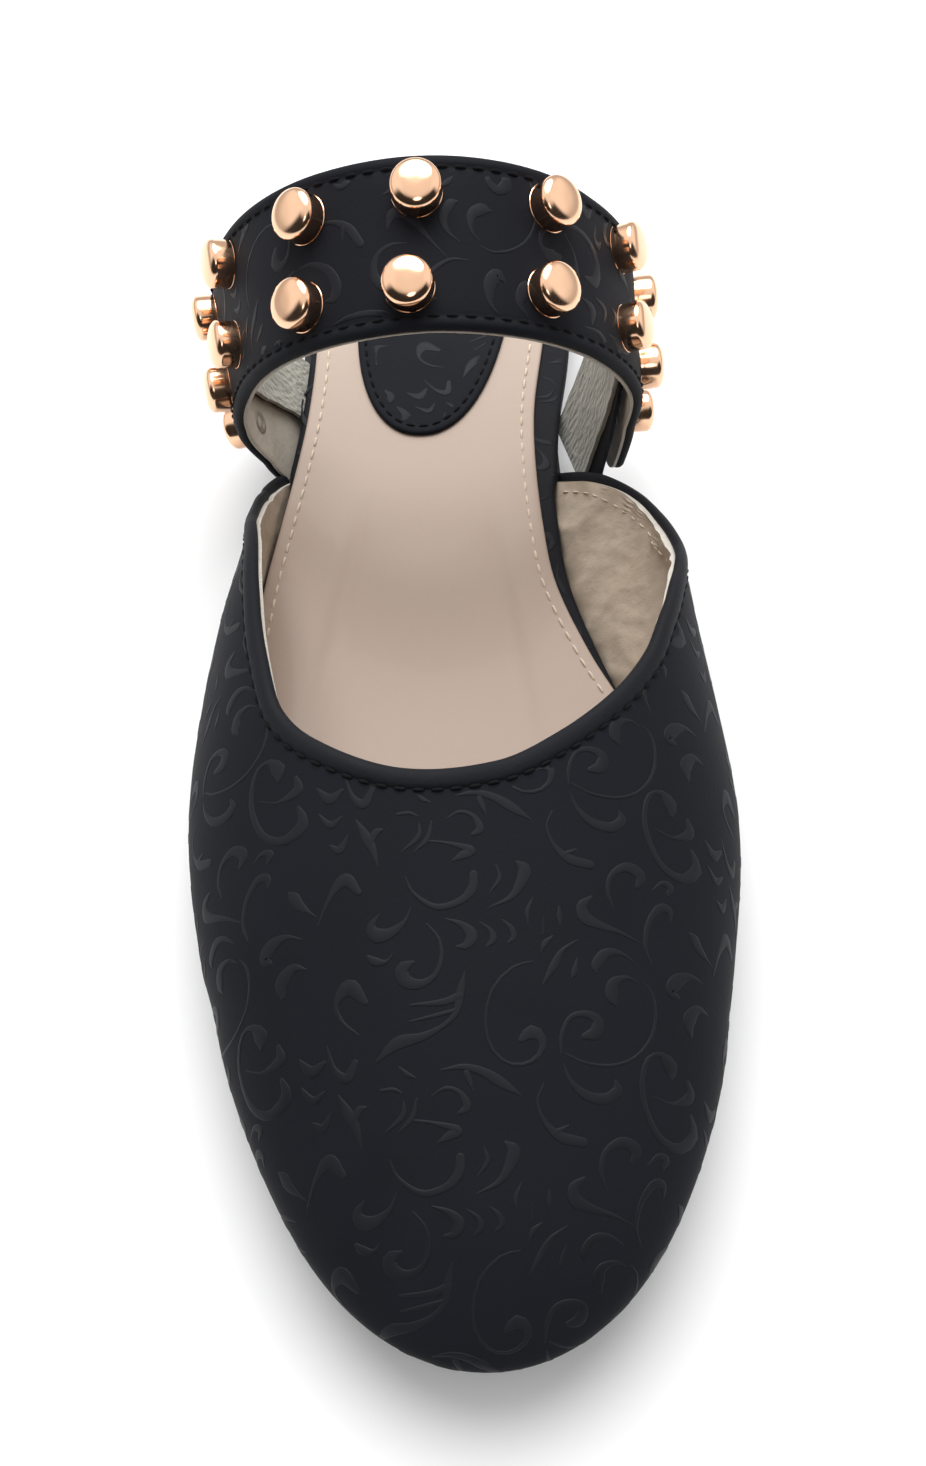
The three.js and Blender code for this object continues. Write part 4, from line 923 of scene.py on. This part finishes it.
def strokeLines():
    # a cubic through each stroke's rows, whose slope at a row follows the rows on both sides
    lines = []
    for stroke in scrolls:
        p = np.array(stroke, float)
        p = np.vstack([2 * p[0] - p[1], p, 2 * p[-1] - p[-2]])
        t = np.linspace(0, len(stroke) - 1, relief["samples"])
        k = np.clip(t.astype(int), 0, len(stroke) - 2)
        u = (t - k)[:, None]
        p0, p1, p2, p3 = [p[k + n] for n in range(4)]
        q = p1 + 0.5 * u * (p2 - p0 + u * (2 * p0 - 5 * p1 + 4 * p2 - p3
                                           + u * (3 * p1 - 3 * p2 + p3 - p0)))
        q[:, 2] = np.maximum(q[:, 2] * relief["widen"], relief["narrowest"])
        for end, inside in ((0, 1), (-1, -2)):      # three more rows round each end off
            way = unit(q[end, :2] - q[inside, :2])
            reach = q[end, 2] / 2
            extra = np.array([[*(q[end, :2] + way * reach * math.sin(v)), 2 * reach * math.cos(v)]
                              for v in (0.5, 1.0, 1.4)])
            q = np.vstack([extra[::-1], q]) if end == 0 else np.vstack([q, extra])
        lines.append(q)
    return np.array(lines)


def scrollField(low, high, origin=(0.0, 0.0), turn=0.0):
    # every repeat of the strokes whose middle falls in a flat box, as flat rings and lifts
    lines = strokeLines()
    flat, wide = lines[..., :2], lines[..., 2]
    way = unit(np.gradient(flat, axis=1))
    aside = np.stack([-way[..., 1], way[..., 0]], -1)
    reach = wide / 2
    slope = reach - np.minimum(relief["bevel"], wide * 0.35)
    rise = relief["height"] * np.clip(wide / 0.6, 0.45, 1)
    buried, foot = 0 * wide - relief["sink"], 0 * wide + relief["foot"]
    offsets = [reach + 0.1, reach, slope, 0 * wide, -slope, -reach, -reach - 0.1]
    rings = np.stack([flat + aside * o[..., None] for o in offsets], 2)
    lifts = np.stack([buried, foot, rise, rise, rise, foot, buried], 2)
    lifts[:, [0, -1]] = np.minimum(lifts[:, [0, -1]], 0.0)
    c, d = math.cos(math.radians(turn)), math.sin(math.radians(turn))
    spin = np.array([[c, d], [-d, c]])
    found, raised = [], []
    for i in range(-5, 6):
        for j in range(-7, 8):
            shift = i * np.array(relief["stepAcross"]) + j * np.array(relief["stepUp"])
            moved = (rings + shift) @ spin + np.array(origin)
            centre = moved[:, :, 3]
            keep = ((centre > low) & (centre < high)).all(-1).any(-1)
            found.append(moved[keep])
            raised.append(lifts[keep])
    return np.concatenate(found), np.concatenate(raised)


def scrollPiece(name, points, seen):
    # each stroke is a closed ribbon whose edges dive under the face that carries it
    points = points[seen.any((1, 2))]
    meshFrom(name, points, manyTubes(points), reliefBlack, "upper_black", sharp=60)


# For laying flat work on the last: its ribs, numbered by swing on both sides, with their start
# on the ridge, their way aside, and the around at each half millimetre down the rib.
ribCount, ribSteps = 400, 180
swingTable, shareTable = np.linspace(0, 2, ribCount + 1), np.linspace(0, 1, ribSteps + 1)
ribs = {}
for side in (-1, 1):
    grid = lastPoint(swingTable[:, None], side * shareTable[None, :])
    reach = np.cumsum(np.linalg.norm(np.diff(grid, axis=1), axis=2), 1)
    reach = np.concatenate([np.zeros((ribCount + 1, 1)), reach], 1)
    ridge = grid[:, 0, :2]
    way = lastPoint(swingTable, side * last["wideShare"])[:, :2] - ridge
    way[swingTable <= 1] = [side, 0]
    way = unit(way)
    way[-1] = [0, -1]
    share = np.stack([np.interp(np.arange(ribSteps + 1) / 2, r, shareTable) for r in reach])
    ribs[side] = dict(ridge=ridge, way=way, share=share)


def wrapFlat(flat):
    # flat to last: find the rib whose line passes through the point by halving, then walk
    # down that rib by the distance from the ridge
    p = flat.reshape(-1, 2)
    axisX = np.interp(-p[:, 1], -ribs[1]["ridge"][:, 1], ribs[1]["ridge"][:, 0])
    side = np.where(p[:, 0] >= axisX, 1, -1)
    low, high = np.zeros(len(p)), np.full(len(p), 2.0)

    def pick(key, s):
        left, right = [np.stack([np.interp(s, swingTable, ribs[v][key][:, k]) for k in (0, 1)], -1)
                       for v in (-1, 1)]
        return np.where(side[:, None] > 0, right, left)

    for _ in range(20):
        mid = (low + high) / 2
        q, d = p - pick("ridge", mid), pick("way", mid)
        before = side * (d[:, 0] * q[:, 1] - d[:, 1] * q[:, 0]) < 0
        low, high = np.where(before, mid, low), np.where(before, high, mid)
    s = (low + high) / 2
    length = np.linalg.norm(p - pick("ridge", s), axis=1)
    i = np.clip((s * ribCount / 2).astype(int), 0, ribCount - 1)
    j = np.clip((length * 2).astype(int), 0, ribSteps - 1)
    fs, fj = s * ribCount / 2 - i, np.clip(length * 2 - j, 0, 1)
    left, right = [mix(mix(t[i, j], t[i + 1, j], fs), mix(t[i, j + 1], t[i + 1, j + 1], fs), fj)
                   for t in (ribs[-1]["share"], ribs[1]["share"])]
    around = side * np.where(side > 0, right, left)
    return s.reshape(flat.shape[:-1]), around.reshape(flat.shape[:-1])


# Each placing below lays the flat scrolls on one face. Where a scroll passes the face's limits it
# is held at the limit and hidden under the face.
onVamp = dict(topline=3.5, spare=0.6, foot=0.975, lowest=0.985, hidden=0.5)
rings, lifts = scrollField((-75, -150), (75, 45), origin=(0.0, -70.0))
swing, around = wrapFlat(rings)
limit = toplineSwing(around) + onVamp["topline"] / swingRun
seen = (swing > limit) & (np.abs(around) < onVamp["foot"])
lifts = np.where(seen, lifts, -onVamp["hidden"])
swing = np.maximum(swing, limit - onVamp["spare"] / swingRun)
around = np.clip(around, -onVamp["lowest"], onVamp["lowest"])
points = lastPoint(swing, around) + lifts[..., None] * lastNormal(swing, around)
scrollPiece("vamp_scrolls", points, seen)

onStrap = dict(edge=2.6, start=1.0, end=3.2, face=1.17, crown=0.06, hidden=0.35)
reach = strap["width"] / 2 - onStrap["edge"]
rings, lifts = scrollField((-4, -16), (strapLength + 4, 16), origin=(20.0, 9.0), turn=68.0)
across = np.clip(rings[..., 1], -reach, reach)
distance = np.clip(rings[..., 0], onStrap["start"], strapLength - onStrap["end"])
seen = (across == rings[..., 1]) & (distance == rings[..., 0])
hill = 1 - (across / (strap["width"] / 2 - coverProfile[-1][0])) ** 2
lifts = np.where(seen, lifts, -onStrap["hidden"]) + onStrap["face"] + onStrap["crown"] * hill
scrollPiece("strap_scrolls", strapPoint(distance, across, lifts), seen)

onPatch = dict(edge=3.0, first=0.03, final=0.96, back=2.0, front=3.0, hidden=0.3)
rings, lifts = scrollField((-25, 30), (25, 130), origin=(6.0, 80.0), turn=24.0)
x, along = rings[..., 0], shoe["length"] / 2 - rings[..., 1]
fore = (along - patch["back"]) / patch["length"]
centre, wide, _ = patchOutline(np.arccos(np.clip(1 - 2 * fore, -1, 1)) / np.pi, 0.0)
wide = np.maximum(wide - onPatch["edge"], 0)
seen = (fore > onPatch["first"]) & (fore < onPatch["final"]) & (np.abs(x - centre) < wide)
x = centre + np.clip(x - centre, -wide, wide)
along = np.clip(along, patch["back"] + onPatch["back"],
                patch["back"] + patch["length"] - onPatch["front"])
lifts = np.where(seen, lifts, -onPatch["hidden"]) + patchBase + patch["face"]
scrollPiece("patch_scrolls", spot(x, along, bedHeight(along) + lifts), seen)

onRim = dict(outer=0.9, inner=0.6, innerEnd=3.8, back=14.0, front=125.0, spare=1.0, hidden=0.3)
rings, lifts = scrollField((-60, -20), (60, 130), origin=(14.0, 40.0), turn=-32.0)
x, along = rings[..., 0], shoe["length"] / 2 - rings[..., 1]
side = np.where(x > half * readRow(soleRows, "axis", along / shoe["length"]), 1.0, -1.0)
outer = soleEdge(along, side, *[boardInset(along, 1.0, onRim["outer"], end)
                                for end in (False, True)])
inner = np.where(side > 0, *[soleEdge(along, which, sockInset(along, which, onRim["inner"]),
                                      onRim["innerEnd"]) for which in (1.0, -1.0)])
seen = ((side * x < side * outer) & (side * x > side * inner) & (along > onRim["back"])
        & (along < onRim["front"]))
x = side * np.clip(side * x, side * inner - onRim["spare"], side * outer)
lifts = np.where(seen, lifts, -onRim["hidden"]) + shoe["gap"] + bed["thickness"]
scrollPiece("rim_scrolls", spot(x, along, bedHeight(along) + lifts), seen)
print("scrolls pressed")

# Stitches

blackSeam = dict(material=threadBlack, slot="upper_black", pitch=2.9, length=2.1, radius=0.32,
                 sink=0.25)
creamSeam = dict(material=threadCream, slot="sock_lining", pitch=2.9, length=1.6, radius=0.17,
                 sink=0.15)
# how far each seam lies in from its edge, and the height of its threads over the piece's face
seamIn = dict(topline=3.05, lining=4.2, strap=2.1, sock=2.6, patch=1.75)
threadUp = dict(topline=0.08, lining=0.02, strap=1.06, patch=0.83)


def stitchRow(name, line, up, material, slot, pitch, length, radius, sink):
    # each stitch is a short thread that rises from a hole, lies on the face and dips again
    reach = np.append(0, np.cumsum(np.linalg.norm(np.diff(line, axis=0), axis=1)))
    count = int(reach[-1] / pitch)
    start = (np.arange(count) + 0.5) * reach[-1] / count - length / 2
    t = np.linspace(0, 1, 9)
    where = start[:, None] + t[None, :] * length
    centre, lift = [np.stack([np.interp(where, reach, a[:, k]) for k in range(3)], -1)
                    for a in (line, up)]
    lift = unit(lift)
    aside = unit(np.cross(unit(np.gradient(centre, axis=1)), lift))
    arch = np.sin(t * np.pi) ** 0.5
    centre = centre + lift * mix(-sink, radius * 0.55, arch)[None, :, None]
    thick = radius * (0.55 + 0.45 * arch)
    angle = np.arange(8) / 8 * 2 * np.pi
    ring = (np.cos(angle)[None, None, :, None] * aside[:, :, None]
            + np.sin(angle)[None, None, :, None] * lift[:, :, None])
    points = centre[:, :, None] + ring * thick[None, :, None, None]
    meshFrom(name, points, manyTubes(points), material, slot)


line, normal, down, swing, around = toplinePath(900)
low = slide(swing, around, down * seamIn["topline"])
face = lastPoint(*low) + lastNormal(*low) * threadUp["topline"]
stitchRow("topline_stitches", face[12:-12], normal[12:-12], **{**blackSeam, "radius": 0.30})
inner = (around > 0.2) & (around < 0.93)
low = slide(swing[inner], around[inner], down[inner] * seamIn["lining"])
depth = skin["liningFace"] + liningCrease(lastPoint(*low), low[1]) + threadUp["lining"]
face = lastPoint(*low) - depth[:, None] * lastNormal(*low)
stitchRow("lining_stitches", face, -normal[inner], **creamSeam)

# along both edges of the strap and round its free end
distance = np.linspace(4, strapLength - 6, 500)
angle = np.linspace(0, np.pi, 60)
corner = strap["endRound"] - seamIn["strap"]
seamAway = strap["width"] / 2 - seamIn["strap"]
for name, distance, across in (
        ("back", distance, -seamAway), ("front", distance, seamAway),
        ("end", strapLength - strap["endRound"] + corner * np.sin(angle),
         (seamAway - corner) * np.sign(np.cos(angle)) + corner * np.cos(angle))):
    stitchRow("strap_stitches_" + name, strapPoint(distance, across, threadUp["strap"]),
              strapFrame(distance)[3], **blackSeam)

seam = seamIn["sock"]
run = np.linspace(0.0, 1.0, 900)
lines = []
for which in (-1.0, 1.0):
    ends = sockInset(None, which, seam, end=True)
    along = stationRun(run, ends)
    along = along[along < 172]
    x = soleEdge(along, which, sockInset(along, which, seam), ends)
    lines.append(spot(x, along, bedHeight(along) + sockBase + bed["sock"]))
line = np.concatenate([lines[0][::-1], lines[1]])
up = np.array([[0.0, 0.0, 1.0]])
stitchRow("sock_stitches", line, up.repeat(len(line), 0), **{
    **creamSeam, "pitch": 3.1, "length": 2.3, "radius": 0.27, "sink": 0.2})
lines = []
for side in (-1, 1):
    centre, wide, along = patchOutline(np.linspace(0, 1, 300), seamIn["patch"])
    height = bedHeight(along) + patchBase + threadUp["patch"]
    lines.append(spot(centre + side * wide, along, height))
line = np.concatenate([lines[0], lines[1][::-1]])
stitchRow("patch_stitches", line, up.repeat(len(line), 0), **{
    **blackSeam, "pitch": 2.7, "length": 2.0, "radius": 0.28, "sink": 0.2})
print("stitches made")

# Stage, light and camera

def stageFloor():
    mesh = bpy.data.meshes.new("floor")
    size = 3.0
    mesh.from_pydata([(-size, -size, 0), (size, -size, 0), (size, size, 0), (-size, size, 0)],
                     [], [(0, 1, 2, 3)])
    floor = bpy.data.objects.new("floor", mesh)
    bpy.context.scene.collection.objects.link(floor)
    material = bpy.data.materials.new("pale floor")
    material.use_nodes = True
    shader = material.node_tree.nodes["Principled BSDF"]
    for label, value in (("Base Color", (0.90, 0.90, 0.90, 1)), ("Roughness", 0.9),
                         ("Specular IOR Level", 0.1)):
        shader.inputs[label].default_value = value
    mesh.materials.append(material)


def softLight(name, place, aim, size, power):
    light = bpy.data.lights.new(name, "AREA")
    light.shape, light.size, light.energy = "DISK", size, power
    lamp = bpy.data.objects.new(name, light)
    bpy.context.scene.collection.objects.link(lamp)
    lamp.location = place
    lamp.rotation_euler = (Vector(aim) - Vector(place)).to_track_quat("-Z", "Y").to_euler()


stageFloor()
softLight("behind", (-0.05, 0.70, 1.24), (0, 0, 0.02), 1.3, 22.5)
softLight("front", (0.0, -0.75, 0.98), (0, 0, 0.04), 0.36, 0.8)

# a light tent: pale all round, brighter at both sides and overhead, and dark where the direction
# points low ahead
tent = dict(pale=0.57, deep=0.03, ahead=(-0.05, -0.35), low=(0.86, 0.74), overhead=(0.80, 0.94),
            extra=0.36, aside=(0.30, 0.62), raised=(0.15, 0.45), glow=0.50, backdrop=0.96)
world = bpy.data.worlds.new("studio")
bpy.context.scene.world = world
world.use_nodes = True
add, calc = nodeTools(world.node_tree)
way = add("ShaderNodeSeparateXYZ", inputs={0: add("ShaderNodeTexCoord").outputs["Generated"]})


def tentStep(share, ends, top):
    # a smooth step from nothing to its top between two ends
    return add("ShaderNodeMapRange", interpolation_type="SMOOTHSTEP", inputs={
        "Value": share, "From Min": ends[0], "From Max": ends[1], "To Min": 0.0,
        "To Max": top}).outputs["Result"]


wayX, wayY, wayZ = [way.outputs[axis] for axis in "XYZ"]
dark = calc("MULTIPLY", tentStep(wayY, tent["ahead"], 1.0), tentStep(wayZ, tent["low"], 1.0))
sides = calc("MULTIPLY_ADD", tentStep(calc("ABSOLUTE", wayX), tent["aside"], tent["glow"]),
             tentStep(wayZ, tent["raised"], 1.0), tent["pale"])
pale = add("ShaderNodeMapRange", inputs={"Value": dark, "To Min": sides, "To Max": tent["deep"]})
light = calc("ADD", pale.outputs["Result"], tentStep(wayZ, tent["overhead"], tent["extra"]))
shown = add("ShaderNodeMix", data_type="FLOAT", inputs={
    0: add("ShaderNodeLightPath").outputs["Is Camera Ray"], 2: light, 3: tent["backdrop"]})
sky = world.node_tree.nodes["Background"]
sky.inputs["Color"].default_value = (1, 1, 1, 1)
world.node_tree.links.new(shown.outputs[0], sky.inputs["Strength"])

view = dict(focal=1350.0, height=1466.0, tilt=62.5, along=258.0, above=233.0)
camera = bpy.data.cameras.new("camera")
camera.sensor_fit = "VERTICAL"
camera.sensor_height = 24.0
camera.lens = camera.sensor_height * view["focal"] / view["height"]
camera.clip_start = 0.01
cameraObject = bpy.data.objects.new("camera", camera)
bpy.context.scene.collection.objects.link(cameraObject)
cameraObject.location = (spot(0.0, view["along"], view["above"]) + middle) * millimetre
cameraObject.rotation_euler = (math.radians(90 - view["tilt"]), 0, 0)
bpy.context.scene.camera = cameraObject
settings = bpy.context.scene.view_settings
settings.view_transform, settings.look = "Standard", "None"
print("stage and camera made")
